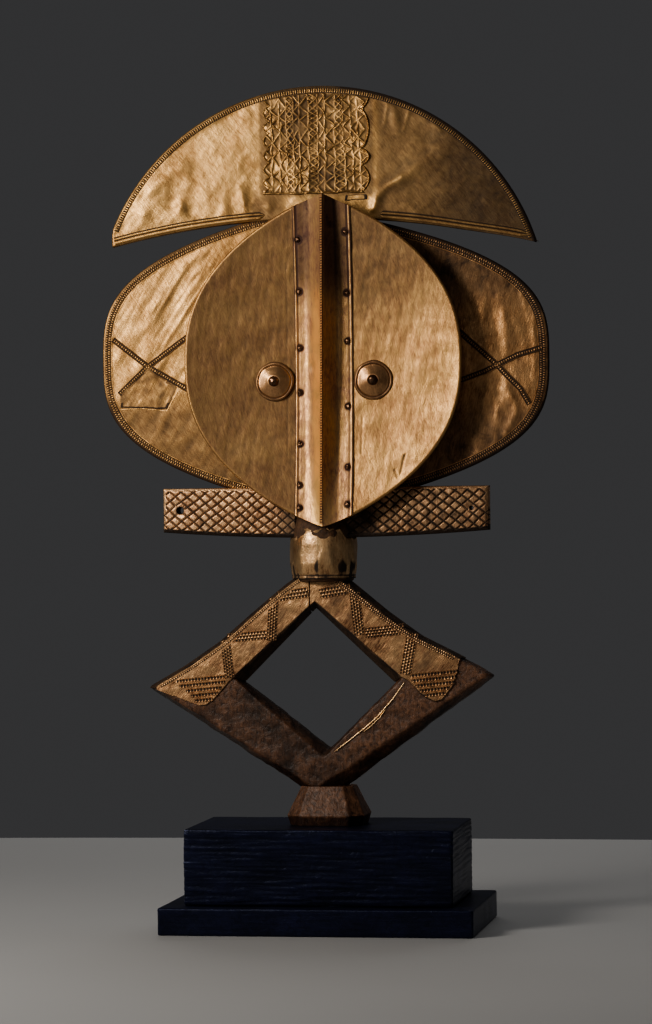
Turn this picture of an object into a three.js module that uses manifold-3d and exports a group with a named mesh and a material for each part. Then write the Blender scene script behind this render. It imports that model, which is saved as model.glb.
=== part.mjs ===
// A kota reliquary figure on its stand, in millimetres, +Z up, its face towards -Y.
//
// One carved wooden figure carries the form: a crescent crown, two side lobes, a dished oval
// face with a sharp nose ridge, a bar below it, a barrel neck, an open lozenge and a small
// foot. Thin beaten brass covers its front in separate sheets that turn over the edges. The
// stand is a black-stained block on a wider plate.
//
// The stand's centre is the origin, at the level of its underside. The figure is modelled in
// its own frame, with z = 0 under its foot, and then set on the block.

import * as THREE from 'three';
import { RoundedBoxGeometry } from 'three/addons/geometries/RoundedBoxGeometry.js';
import { mergeVertices } from 'three/addons/utils/BufferGeometryUtils.js';
import Module from 'manifold-3d';

const wasm = await Module();
wasm.setup();

// Stand
const PLATE_WIDTH = 254;
const PLATE_DEPTH = 161;
const PLATE_HEIGHT = 22;
const BLOCK_WIDTH = 218;
const BLOCK_DEPTH = 125;
const BLOCK_HEIGHT = 61;
const STAND_EDGE_RADIUS = 1.6;

// Fits: every piece keeps GAP to what it touches
const GAP = 0.3;
const SHEET = 0.9;

// Crescent crown: a round upper edge over a flatter lower one, blunt at the left tip
const CRESCENT_CENTRE_X = -3;
const CRESCENT_CENTRE_Z = 413.3;
const CRESCENT_RADIUS = 185.1;
const CRESCENT_UNDER_CENTRE_X = -9.6;
const CRESCENT_UNDER_APEX_Z = 493;
const CRESCENT_UNDER_RADIUS = 691.4;
const CRESCENT_LEFT_END_DEGREES = 157;
const BOARD_FRONT_Y = -8;
const BOARD_BACK_Y = 5;

// Side lobes: |x| / reach + (|z - centre| / half height) ^ power = 1
const LOBE_REACH = 182.3;
const LEFT_LOBE = { centreZ: 378.9, halfHeight: 126.3, power: 3.08 };
const RIGHT_LOBE = { centreZ: 376.7, halfHeight: 121, power: 3.17 };

// Face: (|x| / half width) ^ power x + (|z| / half height) ^ power z = 1, with x and z from its
// centre; dished in front and undercut behind
const FACE_X = 2.8;
const FACE_CENTRE_Z = 375.3;
const FACE_HALF_WIDTH = 112;
const FACE_HALF_HEIGHT = 133.2;
const FACE_POWER_X = 1.17;
const FACE_POWER_Z = 2.38;
const FACE_RIM_Y = -32;
const DISH_DEPTH = 12;
const FACE_UNDERCUT = 16;
const CHEEK_SHARES = [0, 0.26, 0.5, 0.7, 0.85, 0.95, 1];

// Nose ridge and the strip over it
const NOSE_HALF_WIDTH = 16;
const NOSE_TOP_Y = -44;
const NOSE_BOTTOM_Y = -37;
const NOSE_COVE_POWER = 1.8;
const NOSE_LEAN = 3.2;
const STRIP_HALF_WIDTH = 23.6;
const STRIP_LAP = 4.5;
const RIDGE_SHARES = [0.16, 0.33, 0.55, 0.8, 1];

// Eyes and nails: domes with a low upright rim
const EYE_BOSS = { radius: 15.8, height: 8, rim: SHEET, sides: 24, rings: 4 };
const EYE_NAIL = { radius: 3.7, height: 2.6, rim: GAP, sides: 12, rings: 3 };
const STRIP_NAIL = { radius: 2.1, height: 1.3, rim: GAP, sides: 8, rings: 2 };
const EYE_Z = 359.4;
const STRIP_NAIL_INSET = 4;
const LEFT_NAIL_HEIGHTS = [473.3, 431.5, 386.2, 350.1, 308.5, 275.1, 256.8];
const RIGHT_NAIL_HEIGHTS = [478.9, 429.9, 391.1, 338.6, 289.5, 259.3];

// Bar behind the chin, its lower edge bowed
const BAR_HALF_LENGTH = 132.4;
const BAR_X = 0.8;
const BAR_TOP_Z = 272.4;
const BAR_HEIGHT = 33.4;
const BAR_BOW = 5.2;
const BAR_FRONT_Y = -13;
const BAR_BACK_Y = 3;
const BAR_HOLE_INSET = 12.8;
const LEFT_BAR_HOLE_RADIUS = 3;
const RIGHT_BAR_HOLE_RADIUS = 1.8;
const LATTICE_CELL_WIDTH = 10;
const LATTICE_CELL_HEIGHT = 8;
const LATTICE_RELIEF = 1.1;
const LATTICE_MARGIN = 1.4;

// Neck: a barrel that runs up behind the face as a tapering spine
const NECK_X = -2.6;
const NECK_RADIUS = 26;
const NECK_END_RADIUS = 24.2;
const NECK_BOTTOM_Z = 197;
const NECK_TOP_Z = 238.4;
const NECK_SHOULDER_SHARE = 0.35;
const SPINE_MIDDLE = { radius: 16, z: 281 };
const SPINE_TOP_Z = 345;
const NECK_SHEET_RISE = 3;
const NECK_SHEET_TOOTH = 5;
const NECK_SHEET_TEETH = 18;

// Lozenge: corner points (x, z) of its widest outline, of its narrower front face and of its
// back face, outside and inside; and how far points on each outer side lie off a straight line
const LOZENGE_FRONT_Y = -14;
const LOZENGE_SHOULDER_Y = 5;
const LOZENGE_BACK_Y = 13;
const LOZENGE_OUTSIDE = [[-147.5, 110.4], [-3, 214], [137.6, 120], [-3, 17.4]];
const LOZENGE_INSIDE = [[-69, 116.4], [-8.5, 177.4], [57, 115.4], [1.5, 61.4]];
const LOZENGE_FRONT_OUTSIDE = [[-140.5, 110.9], [-4, 210], [133.5, 121.5], [-9, 28.9]];
const LOZENGE_FRONT_INSIDE = [[-77, 120], [-8, 182.4], [63.5, 119.4], [-2, 54.4]];
const LOZENGE_BACK_OUTSIDE = [[-138, 112], [-3, 208], [129, 120], [-3, 25]];
const LOZENGE_BACK_INSIDE = [[-76, 116.4], [-8.5, 183], [64, 115.4], [1.5, 55]];
const LOZENGE_OUTER_BOWS = [
  [-3.7, -4.6, -1.4, 1], [-2.4, -5.9, -7.2, -3], [0, 0, 0, 0], [0, 0, 0, 0],
];
const LOZENGE_INNER_BOWS = LOZENGE_OUTER_BOWS.map((side) => side.map(() => 0));

// Arm sheets, seen from the front: the seam between them and where they end below
const ARM_SEAM_X = -12.4;
const ARM_SEAM_BOTTOM_Z = 156;
const ARM_SHEET_WRAP_Y = -1;
const LEFT_ARM_SHEET_END = [
  [-60, 127], [-71.8, 122], [-77.6, 117.5], [-85.2, 108.6], [-97.7, 97.2], [-103.5, 96.5],
  [-120, 103], [-139, 110.5], [-170, 112],
];
const RIGHT_ARM_SHEET_END = [
  [50, 123], [59.6, 122.5], [67.7, 116.4], [77.4, 105.9], [89.5, 99.4], [95, 101],
  [103.4, 111.5], [107.6, 123.6], [109.3, 133.2], [114, 146],
];

// Foot: a cone with eight sides, a cut-cornered rectangle in plan
const FOOT_TOP_Z = 31;
const FOOT_FLARE_Z = 8;
const FOOT_SECTIONS = {
  base: { halfWidth: 29.5, halfDepth: 26, corner: 10 },
  flare: { halfWidth: 31.8, halfDepth: 28.5, corner: 11 },
  top: { halfWidth: 21.2, halfDepth: 17.5, corner: 7 },
};

// Tooling that stands out from the brass
const TOOLING = 0.7;
const PANEL_LEFT_X = -47;
const PANEL_RIGHT_X = 38.5;
const PANEL_BOTTOM_Z = 513.5;
const PANEL_RIBS = 12;
const RIB_WIDTH = 2;
const SCALLOP_PITCH = 14;
const SCALLOP_SWING = 3.4;
const SCALLOP_STEPS = 4;
const CRESCENT_BAND_WIDTH = 5.5;
const CRESCENT_BAND_TIP_MARGIN = 15;
const CROSS_BAND_WIDTH = 3.4;
const HEM_MARGIN = 5;
const LEFT_CROSS = [[[-171, 394.4], [-117, 356.2]], [[-171, 347.9], [-115.5, 397.3]]];
const RIGHT_CROSS = [[[120, 390], [166, 342]], [[120, 360], [177, 383.3]]];

// Small repairs in brass
const PATCH = 0.8;
const PATCH_OUTLINE = [
  [-167.5, 340.4], [-129.9, 338.8], [-123.5, 353.5], [-142, 366.5], [-167.5, 345.2],
];
const CROWN_STRIP = { left: 19.1, right: 37.1, bottom: 506, top: 510.5 };

// Plain raised lozenge on the back of the face
const BACK_LOZENGE_HALF_WIDTH = 34;
const BACK_LOZENGE_HALF_HEIGHT = 72;
const BACK_LOZENGE_CENTRE_Z = 398;
const BACK_LOZENGE_RISE = 4;
const BACK_LOZENGE_TOP_SHARE = 0.8;

// Distances past the wood to the inner and the outer skin of a sheet, and to its neighbour
const SKIN_IN = GAP;
const SKIN_OUT = GAP + SHEET;
const SKIN_CLEAR = GAP + SHEET + GAP;
const FOOT_BASE_Z = PLATE_HEIGHT + GAP + BLOCK_HEIGHT + GAP;

// How far back the sheets reach on the boards' edges and on the face's
const BOARD_WRAP_Y = -3;
const FACE_WRAP_Y = FACE_RIM_Y + DISH_DEPTH + SHEET;

// Past everything in the figure, for cutters
const FAR = 700;

// Facets
const CRESCENT_UPPER_STEPS = 40;
const CRESCENT_LOWER_STEPS = 16;
const LOBE_STEPS = 30;
const BAR_STEPS = 12;
const FACE_ROW_STEPS = 12;
const NECK_SIDES = 36;
const HOLE_SIDES = 20;
const STAND_EDGE_STEPS = 2;
const HALVINGS = 40;
const MERGE_DISTANCE = 1e-4;
const SHARPEST_MITRE = 0.4;

const lerp = THREE.MathUtils.lerp;
const bySteps = (steps, value) =>
  Array.from({ length: steps + 1 }, (_, step) => value(step / steps));

// Solids and geometries

// A closed body from corner positions and triangles: equal corners are merged, triangles that
// vanish are dropped, and a body that is inside out is turned round.
function closedBody(positions, triangles) {
  const geometry = new THREE.BufferGeometry();
  geometry.setAttribute('position', new THREE.Float32BufferAttribute(positions.flat(), 3));
  geometry.setIndex(triangles.flat());
  return solidOf(geometry);
}

function solidOf(source) {
  const bare = source.clone();
  bare.deleteAttribute('normal');
  bare.deleteAttribute('uv');
  const merged = mergeVertices(bare, MERGE_DISTANCE);
  const place = merged.attributes.position.array;
  const corners = merged.index.array;
  const kept = [];
  let volume = 0;
  const [a, b, c] = [new THREE.Vector3(), new THREE.Vector3(), new THREE.Vector3()];
  for (let at = 0; at < corners.length; at += 3) {
    const [i, j, k] = [corners[at], corners[at + 1], corners[at + 2]];
    if (i === j || j === k || k === i) continue;
    kept.push([i, j, k]);
    volume += a.fromArray(place, 3 * i).dot(
      b.fromArray(place, 3 * j).cross(c.fromArray(place, 3 * k)),
    );
  }
  const outward = volume < 0 ? kept.map(([i, j, k]) => [i, k, j]) : kept;
  return new wasm.Manifold(new wasm.Mesh({
    numProp: 3,
    vertProperties: new Float32Array(place),
    triVerts: new Uint32Array(outward.flat()),
  }));
}

function geometryOf(solid) {
  const mesh = solid.getMesh();
  const geometry = new THREE.BufferGeometry();
  geometry.setAttribute('position', new THREE.BufferAttribute(mesh.vertProperties, 3));
  geometry.setIndex(new THREE.BufferAttribute(mesh.triVerts, 1));
  geometry.computeVertexNormals();
  return geometry;
}

const joined = (solids) => solids.reduce((whole, next) => whole.add(next));
const cutBy = (solid, cutters) => cutters.reduce((rest, next) => rest.subtract(next), solid);

// An upright board: an outline of (x, z) points carried from frontY back to backY.
function board(outline, frontY, backY) {
  const shape = new THREE.Shape(outline.map(([x, z]) => new THREE.Vector2(x, z)));
  const geometry = new THREE.ExtrudeGeometry(shape, { depth: backY - frontY, bevelEnabled: false });
  geometry.rotateX(Math.PI / 2);
  geometry.translate(0, backY, 0);
  return solidOf(geometry);
}

const slabBetween = (x0, x1, y0, y1, z0, z1) =>
  solidOf(new THREE.BoxGeometry(x1 - x0, y1 - y0, z1 - z0)
    .translate((x0 + x1) / 2, (y0 + y1) / 2, (z0 + z1) / 2));

// Everything left (side -1) or right (side 1) of x, no further back than backY.
const beside = (side, x, backY = FAR) =>
  slabBetween(side < 0 ? -FAR : x, side < 0 ? x : FAR, -FAR, backY, -FAR, FAR);

// A pin hole from the front: a cylinder along Y.
const drill = (x, z, radius, frontY, backY) =>
  solidOf(new THREE.CylinderGeometry(radius, radius, backY - frontY, HOLE_SIDES)
    .translate(x, (frontY + backY) / 2, z));

// An outline moved outwards by a distance, each corner along its mitre. The outline runs
// clockwise or anticlockwise; its area's sign says which.
function grown(outline, distance) {
  const count = outline.length;
  const area = outline.reduce((sum, [x, z], at) => {
    const [nextX, nextZ] = outline[(at + 1) % count];
    return sum + x * nextZ - nextX * z;
  }, 0);
  const side = Math.sign(area);
  return outline.map(([x, z], at) => {
    const [beforeX, beforeZ] = outline[(at + count - 1) % count];
    const [afterX, afterZ] = outline[(at + 1) % count];
    const arriving = new THREE.Vector2(x - beforeX, z - beforeZ).normalize();
    const leaving = new THREE.Vector2(afterX - x, afterZ - z).normalize();
    const normal = new THREE.Vector2(arriving.y + leaving.y, -arriving.x - leaving.x).normalize();
    const mitre = normal.x * leaving.y - normal.y * leaving.x;
    const reach = side * distance / Math.max(mitre, SHARPEST_MITRE);
    return [x + normal.x * reach, z + normal.y * reach];
  });
}

// A body with a front and a back skin, each a grid of points; across runs to +X, up to +Z.
// diagonal(i, j) true splits a front cell from its lower left to its upper right corner.
function twoSkins(front, back, diagonal = () => true) {
  const columns = front.length;
  const rows = front[0].length;
  const positions = [...front.flat(), ...back.flat()];
  const frontAt = (i, j) => i * rows + j;
  const backAt = (i, j) => columns * rows + i * rows + j;
  const triangles = [];
  const quad = (a, b, c, d) => triangles.push([a, b, c], [a, c, d]);
  for (let i = 0; i + 1 < columns; i += 1) {
    for (let j = 0; j + 1 < rows; j += 1) {
      const ring = [frontAt(i, j), frontAt(i + 1, j), frontAt(i + 1, j + 1), frontAt(i, j + 1)];
      if (diagonal(i, j)) quad(...ring);
      else quad(ring[1], ring[2], ring[3], ring[0]);
      quad(backAt(i, j), backAt(i, j + 1), backAt(i + 1, j + 1), backAt(i + 1, j));
    }
    const top = rows - 1;
    quad(frontAt(i, 0), backAt(i, 0), backAt(i + 1, 0), frontAt(i + 1, 0));
    quad(frontAt(i, top), frontAt(i + 1, top), backAt(i + 1, top), backAt(i, top));
  }
  for (let j = 0; j + 1 < rows; j += 1) {
    const last = columns - 1;
    quad(frontAt(0, j), frontAt(0, j + 1), backAt(0, j + 1), backAt(0, j));
    quad(frontAt(last, j), backAt(last, j), backAt(last, j + 1), frontAt(last, j + 1));
  }
  return closedBody(positions, triangles);
}

// A closed ring: sections of equal count, each joined to the next and the last to the first.
function ringOf(sections) {
  const sides = sections[0].length;
  const triangles = [];
  sections.forEach((_, at) => {
    const here = at * sides;
    const next = ((at + 1) % sections.length) * sides;
    for (let side = 0; side < sides; side += 1) {
      const after = (side + 1) % sides;
      triangles.push([here + side, next + side, next + after]);
      triangles.push([here + side, next + after, here + after]);
    }
  });
  return closedBody(sections.flat(), triangles);
}

// Walls between layers, each a closed outline with the same number of sides.
function wallsOf(layers) {
  const sides = layers[0].length;
  return layers.slice(1).flatMap((_, layer) => layers[0].flatMap((corner, side) => {
    const [a, b] = [layer * sides + side, layer * sides + (side + 1) % sides];
    return [[a, b, b + sides], [a, b + sides, a + sides]];
  }));
}

// A stack of convex outlines, closed flat below and above.
function stackOf(layers) {
  const triangles = wallsOf(layers);
  const sides = layers[0].length;
  const top = (layers.length - 1) * sides;
  for (let side = 1; side + 1 < sides; side += 1) {
    triangles.push([0, side + 1, side], [top, top + side, top + side + 1]);
  }
  return closedBody(layers.flat(), triangles);
}

// A dome at (x, z) on a surface: seat(x, z) is the surface's y. Its underside follows the seat.
function domeOn(seat, x, z, { radius, height, rim, sides, rings }) {
  const profile = [
    [0, 0], [radius, 0], [radius, rim],
    ...bySteps(rings, (t) => [
      radius * Math.cos(t * Math.PI / 2), rim + (height - rim) * Math.sin(t * Math.PI / 2),
    ]).slice(1),
  ];
  const layers = profile.map(([reach, rise]) => bySteps(sides, (turn) => {
    const [px, pz] = [
      x + reach * Math.cos(turn * 2 * Math.PI), z + reach * Math.sin(turn * 2 * Math.PI),
    ];
    return [px, seat(px, pz) - rise, pz];
  }).slice(0, sides));
  return closedBody(layers.flat(), wallsOf(layers));
}

// Outlines

// The crescent's upper edge, and its lower one, as heights over x.
const arcHeight = (centreX, centreZ, radius, x) =>
  centreZ + Math.sqrt(Math.max(radius ** 2 - (x - centreX) ** 2, 0));
const crownHeight = (x) =>
  arcHeight(CRESCENT_CENTRE_X, CRESCENT_CENTRE_Z, CRESCENT_RADIUS, x);
const underHeight = (x) => arcHeight(
  CRESCENT_UNDER_CENTRE_X, CRESCENT_UNDER_APEX_Z - CRESCENT_UNDER_RADIUS,
  CRESCENT_UNDER_RADIUS, x,
);

// The x where both edges meet at the right tip, by halving.
function crescentRightTip() {
  let inside = CRESCENT_CENTRE_X;
  let outside = CRESCENT_CENTRE_X + CRESCENT_RADIUS;
  for (let turn = 0; turn < HALVINGS; turn += 1) {
    const middle = (inside + outside) / 2;
    if (crownHeight(middle) > underHeight(middle)) inside = middle;
    else outside = middle;
  }
  return inside;
}
const CRESCENT_RIGHT_X = crescentRightTip();
const CRESCENT_LEFT_ANGLE = THREE.MathUtils.degToRad(CRESCENT_LEFT_END_DEGREES);
const CRESCENT_LEFT_X = CRESCENT_CENTRE_X + CRESCENT_RADIUS * Math.cos(CRESCENT_LEFT_ANGLE);

function crescentOutline() {
  const rightAngle = Math.acos((CRESCENT_RIGHT_X - CRESCENT_CENTRE_X) / CRESCENT_RADIUS);
  const upper = bySteps(CRESCENT_UPPER_STEPS, (t) => {
    const angle = lerp(rightAngle, CRESCENT_LEFT_ANGLE, t);
    return [
      CRESCENT_CENTRE_X + CRESCENT_RADIUS * Math.cos(angle),
      CRESCENT_CENTRE_Z + CRESCENT_RADIUS * Math.sin(angle),
    ];
  });
  const lower = bySteps(CRESCENT_LOWER_STEPS, (t) => {
    const x = lerp(CRESCENT_LEFT_X, CRESCENT_RIGHT_X, t);
    return [x, underHeight(x)];
  });
  return [...upper, ...lower.slice(0, -1)];
}

// One side lobe's outline from the middle line out and back; side is -1 left, 1 right.
function lobeOutline(side, { centreZ, halfHeight, power }) {
  return bySteps(LOBE_STEPS, (t) => {
    const lift = Math.sin((t - 0.5) * Math.PI) * halfHeight;
    const reach = 1 - (Math.abs(lift) / halfHeight) ** power;
    return [side * LOBE_REACH * reach, centreZ + lift];
  });
}

// The bar's lower edge over x, and its outline.
const barBottom = (x) =>
  BAR_TOP_Z - BAR_HEIGHT - BAR_BOW * (1 - ((x - BAR_X) / BAR_HALF_LENGTH) ** 2);

function barOutline() {
  const [left, right] = [BAR_X - BAR_HALF_LENGTH, BAR_X + BAR_HALF_LENGTH];
  const lower = bySteps(BAR_STEPS, (t) => {
    const x = lerp(left, right, t);
    return [x, barBottom(x)];
  });
  return [...lower, [right, BAR_TOP_Z], [left, BAR_TOP_Z]];
}

// Face

const shareUpFace = (z) => (z - FACE_CENTRE_Z + FACE_HALF_HEIGHT) / (2 * FACE_HALF_HEIGHT);
const noseCrest = (z) => lerp(NOSE_BOTTOM_Y, NOSE_TOP_Y, shareUpFace(z));
const crestX = (z) => FACE_X + NOSE_LEAN * shareUpFace(z);

// The carved wood's front: a shallow dish, and the nose ridge that sweeps up out of it.
function faceFront(x, z) {
  const across = (x - FACE_X) / FACE_HALF_WIDTH;
  const up = (z - FACE_CENTRE_Z) / FACE_HALF_HEIGHT;
  const dish = FACE_RIM_Y + DISH_DEPTH * (1 - across ** 2 - up ** 2);
  const crest = crestX(z);
  const foot = FACE_X + Math.sign(x - crest) * NOSE_HALF_WIDTH;
  const aside = x === crest ? 0 : (x - crest) / (foot - crest);
  if (aside >= 1) return dish;
  return lerp(dish, noseCrest(z), (1 - aside) ** NOSE_COVE_POWER);
}

const faceHalfHeightAt = (x, margin) => {
  const share = Math.min(Math.abs(x - FACE_X) / (FACE_HALF_WIDTH + margin), 1);
  return (FACE_HALF_HEIGHT + margin) * (1 - share ** FACE_POWER_X) ** (1 / FACE_POWER_Z);
};

// Columns across the face, from rim to rim, close together on the ridge and at the rims.
const bothSides = (half) => [...half.map((reach) => -reach).reverse(), 0, ...half];
const ridgeColumns = RIDGE_SHARES.map((share) => share * NOSE_HALF_WIDTH);
const faceColumns = (margin) => bothSides([
  ...ridgeColumns,
  ...CHEEK_SHARES.map((share) => lerp(STRIP_HALF_WIDTH, FACE_HALF_WIDTH + margin, share)),
]);
const faceRows = bySteps(FACE_ROW_STEPS, (t) => Math.sin((t - 0.5) * Math.PI));

// A grid point of the face: its column leans with the crest as far as the ridge reaches.
function faceGridPoint(reach, row, margin) {
  const z = FACE_CENTRE_Z + row * faceHalfHeightAt(FACE_X + reach, margin);
  const lean = Math.max(1 - Math.abs(reach) / NOSE_HALF_WIDTH, 0);
  return [lerp(FACE_X + reach, crestX(z) + reach, lean), z];
}

// The face as one body, its front, rim and undercut side moved out by a margin.
function facePlaque(margin) {
  const backShare = (FACE_HALF_WIDTH - FACE_UNDERCUT + margin) / (FACE_HALF_WIDTH + margin);
  const backRise = (FACE_HALF_HEIGHT - FACE_UNDERCUT + margin) / (FACE_HALF_HEIGHT + margin);
  const columns = faceColumns(margin);
  const front = columns.map((reach) => faceRows.map((row) => {
    const [x, z] = faceGridPoint(reach, row, margin);
    return [x, faceFront(x, z) - margin, z];
  }));
  const back = columns.map((reach) => faceRows.map((row) => [
    FACE_X + reach * backShare,
    BOARD_BACK_Y + margin,
    FACE_CENTRE_Z + row * backRise * faceHalfHeightAt(FACE_X + reach, margin),
  ]));
  return twoSkins(front, back);
}

// Neck, turned about its own axis
const NECK_SHOULDER_Z = lerp(NECK_BOTTOM_Z, NECK_TOP_Z, NECK_SHOULDER_SHARE);

function neckTurning(margin) {
  const profile = [
    [0, NECK_BOTTOM_Z],
    [NECK_END_RADIUS, NECK_BOTTOM_Z],
    [NECK_RADIUS, NECK_SHOULDER_Z],
    [NECK_RADIUS, NECK_TOP_Z],
    [SPINE_MIDDLE.radius, SPINE_MIDDLE.z],
    [0, SPINE_TOP_Z],
  ].map(([radius, z]) => new THREE.Vector2(radius > 0 ? radius + margin : 0, z));
  return solidOf(new THREE.LatheGeometry(profile, NECK_SIDES).rotateX(Math.PI / 2)
    .translate(NECK_X, 0, 0));
}

const neckRadiusAt = (z) => {
  const up = (z - NECK_BOTTOM_Z) / (NECK_SHOULDER_Z - NECK_BOTTOM_Z);
  return lerp(NECK_END_RADIUS, NECK_RADIUS, Math.min(up, 1));
};

// Lozenge

// Four corners and the points between them, each off the straight side by its own bow.
function fourSided(corners, bows) {
  return corners.flatMap(([x, z], at) => {
    const [nextX, nextZ] = corners[(at + 1) % corners.length];
    const run = new THREE.Vector2(nextX - x, nextZ - z).normalize();
    return [0, ...bows[at]].map((bow, step) => {
      const t = step / (bows[at].length + 1);
      return [lerp(x, nextX, t) - run.y * bow, lerp(z, nextZ, t) + run.x * bow];
    });
  });
}

function lozengeRing(margin) {
  const [frontY, backY] = [LOZENGE_FRONT_Y - margin, LOZENGE_BACK_Y + margin];
  const outer = (corners, y) =>
    grown(fourSided(corners, LOZENGE_OUTER_BOWS), margin).map(([x, z]) => [x, y, z]);
  const inner = (corners, y) =>
    grown(fourSided(corners, LOZENGE_INNER_BOWS), -margin).map(([x, z]) => [x, y, z]);
  const loops = [
    outer(LOZENGE_FRONT_OUTSIDE, frontY), outer(LOZENGE_OUTSIDE, -LOZENGE_SHOULDER_Y),
    outer(LOZENGE_OUTSIDE, LOZENGE_SHOULDER_Y), outer(LOZENGE_BACK_OUTSIDE, backY),
    inner(LOZENGE_BACK_INSIDE, backY), inner(LOZENGE_INSIDE, LOZENGE_SHOULDER_Y),
    inner(LOZENGE_INSIDE, -LOZENGE_SHOULDER_Y), inner(LOZENGE_FRONT_INSIDE, frontY),
  ];
  return ringOf(loops[0].map((_, at) => loops.map((loop) => loop[at])));
}

// Foot

function footCone() {
  const layer = ({ halfWidth, halfDepth, corner }, z) => {
    const [w, d] = [halfWidth, halfDepth];
    return [
      [w - corner, -d], [w, corner - d], [w, d - corner], [w - corner, d],
      [corner - w, d], [-w, d - corner], [-w, corner - d], [corner - w, -d],
    ].map(([x, y]) => [x, y, z]);
  };
  return stackOf([
    layer(FOOT_SECTIONS.base, 0),
    layer(FOOT_SECTIONS.flare, FOOT_FLARE_Z),
    layer(FOOT_SECTIONS.top, FOOT_TOP_Z),
  ]);
}

// The plain lozenge on the back, its four sides sloping.
function backLozenge() {
  const layer = (share, y) => [[-1, 0], [0, 1], [1, 0], [0, -1]].map(([x, z]) => [
    FACE_X + x * share * BACK_LOZENGE_HALF_WIDTH, y,
    BACK_LOZENGE_CENTRE_Z + z * share * BACK_LOZENGE_HALF_HEIGHT,
  ]);
  return stackOf([
    layer(1, BOARD_FRONT_Y / 2), layer(1, BOARD_BACK_Y),
    layer(BACK_LOZENGE_TOP_SHARE, BOARD_BACK_Y + BACK_LOZENGE_RISE),
  ]);
}

const BAR_HOLES = [
  { x: BAR_X - BAR_HALF_LENGTH + BAR_HOLE_INSET, radius: LEFT_BAR_HOLE_RADIUS },
  { x: BAR_X + BAR_HALF_LENGTH - BAR_HOLE_INSET, radius: RIGHT_BAR_HOLE_RADIUS },
];
const barHole = ({ x, radius }) =>
  drill(x, BAR_TOP_Z - BAR_HEIGHT / 2, radius, BAR_FRONT_Y - FAR, BAR_BACK_Y + GAP);

function woodenFigure() {
  const wood = joined([
    board(crescentOutline(), BOARD_FRONT_Y, BOARD_BACK_Y),
    board(lobeOutline(-1, LEFT_LOBE), BOARD_FRONT_Y, BOARD_BACK_Y),
    board(lobeOutline(1, RIGHT_LOBE), BOARD_FRONT_Y, BOARD_BACK_Y),
    board(barOutline(), BAR_FRONT_Y, BAR_BACK_Y),
    facePlaque(0), neckTurning(0), lozengeRing(0), footCone(), backLozenge(),
  ]);
  return cutBy(wood, BAR_HOLES.map(barHole));
}

// Brass sheets

// A sheet over a board: the shell between two growths of its outline, open behind.
function boardSheet(outline, frontY) {
  const outer = board(grown(outline, SKIN_OUT), frontY - SKIN_OUT, BOARD_WRAP_Y);
  return outer.subtract(board(grown(outline, SKIN_IN), frontY - SKIN_IN, FAR));
}

// A bar of brass standing out from a flat sheet, between two points.
function raisedBand([startX, startZ], [endX, endZ], width, y) {
  const run = new THREE.Vector2(endX - startX, endZ - startZ);
  const across = new THREE.Vector2(-run.y, run.x).normalize().multiplyScalar(width / 2);
  const outline = [
    [startX + across.x, startZ + across.y], [startX - across.x, startZ - across.y],
    [endX - across.x, endZ - across.y], [endX + across.x, endZ + across.y],
  ];
  return board(outline, y - TOOLING, y + SHEET / 2);
}

// A rib with a sharp top, upright on the panel.
function panelRib(x, bottomZ, topZ, y) {
  const section = (z) => [
    [x - RIB_WIDTH / 2, y + SHEET / 2, z], [x + RIB_WIDTH / 2, y + SHEET / 2, z],
    [x + RIB_WIDTH / 4, y - TOOLING, z], [x - RIB_WIDTH / 4, y - TOOLING, z],
  ];
  return stackOf([section(bottomZ), section(topZ)]);
}

// The scalloped border of the panel: a narrow wavy line, bulging to one side.
function scallopedBorder(x, side, y) {
  const [bottom, top] = [PANEL_BOTTOM_Z, crownHeight(x) - HEM_MARGIN - SCALLOP_SWING];
  const steps = SCALLOP_STEPS * Math.round((top - bottom) / SCALLOP_PITCH);
  const wave = bySteps(steps, (t) => {
    const z = lerp(bottom, top, t);
    const bulge = Math.abs(Math.sin((z - bottom) / SCALLOP_PITCH * Math.PI));
    return [x + side * SCALLOP_SWING * bulge, z];
  });
  const outline = [
    ...wave.map(([waveX, z]) => [waveX - RIB_WIDTH / 2, z]),
    ...wave.reverse().map(([waveX, z]) => [waveX + RIB_WIDTH / 2, z]),
  ];
  return board(outline, y - TOOLING, y + SHEET / 2);
}

function crescentSheet() {
  const skinY = BOARD_FRONT_Y - SKIN_OUT;
  const ribs = bySteps(PANEL_RIBS - 1, (t) => {
    const x = lerp(PANEL_LEFT_X + SCALLOP_SWING + RIB_WIDTH, PANEL_RIGHT_X - RIB_WIDTH, t);
    return panelRib(x, PANEL_BOTTOM_Z, crownHeight(x) - HEM_MARGIN, skinY);
  });
  const bandEnd = CRESCENT_RIGHT_X - CRESCENT_BAND_TIP_MARGIN;
  const edge = (rise) => bySteps(CRESCENT_LOWER_STEPS, (t) => {
    const x = lerp(CRESCENT_LEFT_X + HEM_MARGIN, bandEnd, t);
    return [x, underHeight(x) + rise];
  });
  const band = board(
    [...edge(SHEET), ...edge(CRESCENT_BAND_WIDTH).reverse()], skinY - TOOLING, skinY + SHEET / 2,
  );
  const relief = [
    band, ...ribs,
    scallopedBorder(PANEL_LEFT_X, -1, skinY), scallopedBorder(PANEL_RIGHT_X, 1, skinY),
  ];
  const sheet = joined([boardSheet(crescentOutline(), BOARD_FRONT_Y), ...relief]);
  return cutBy(sheet, [
    facePlaque(SKIN_IN),
    board(grown(lobeOutline(-1, LEFT_LOBE), SKIN_IN), BOARD_FRONT_Y - SKIN_IN, FAR),
    board(grown(lobeOutline(1, RIGHT_LOBE), SKIN_IN), BOARD_FRONT_Y - SKIN_IN, FAR),
  ]);
}

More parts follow.
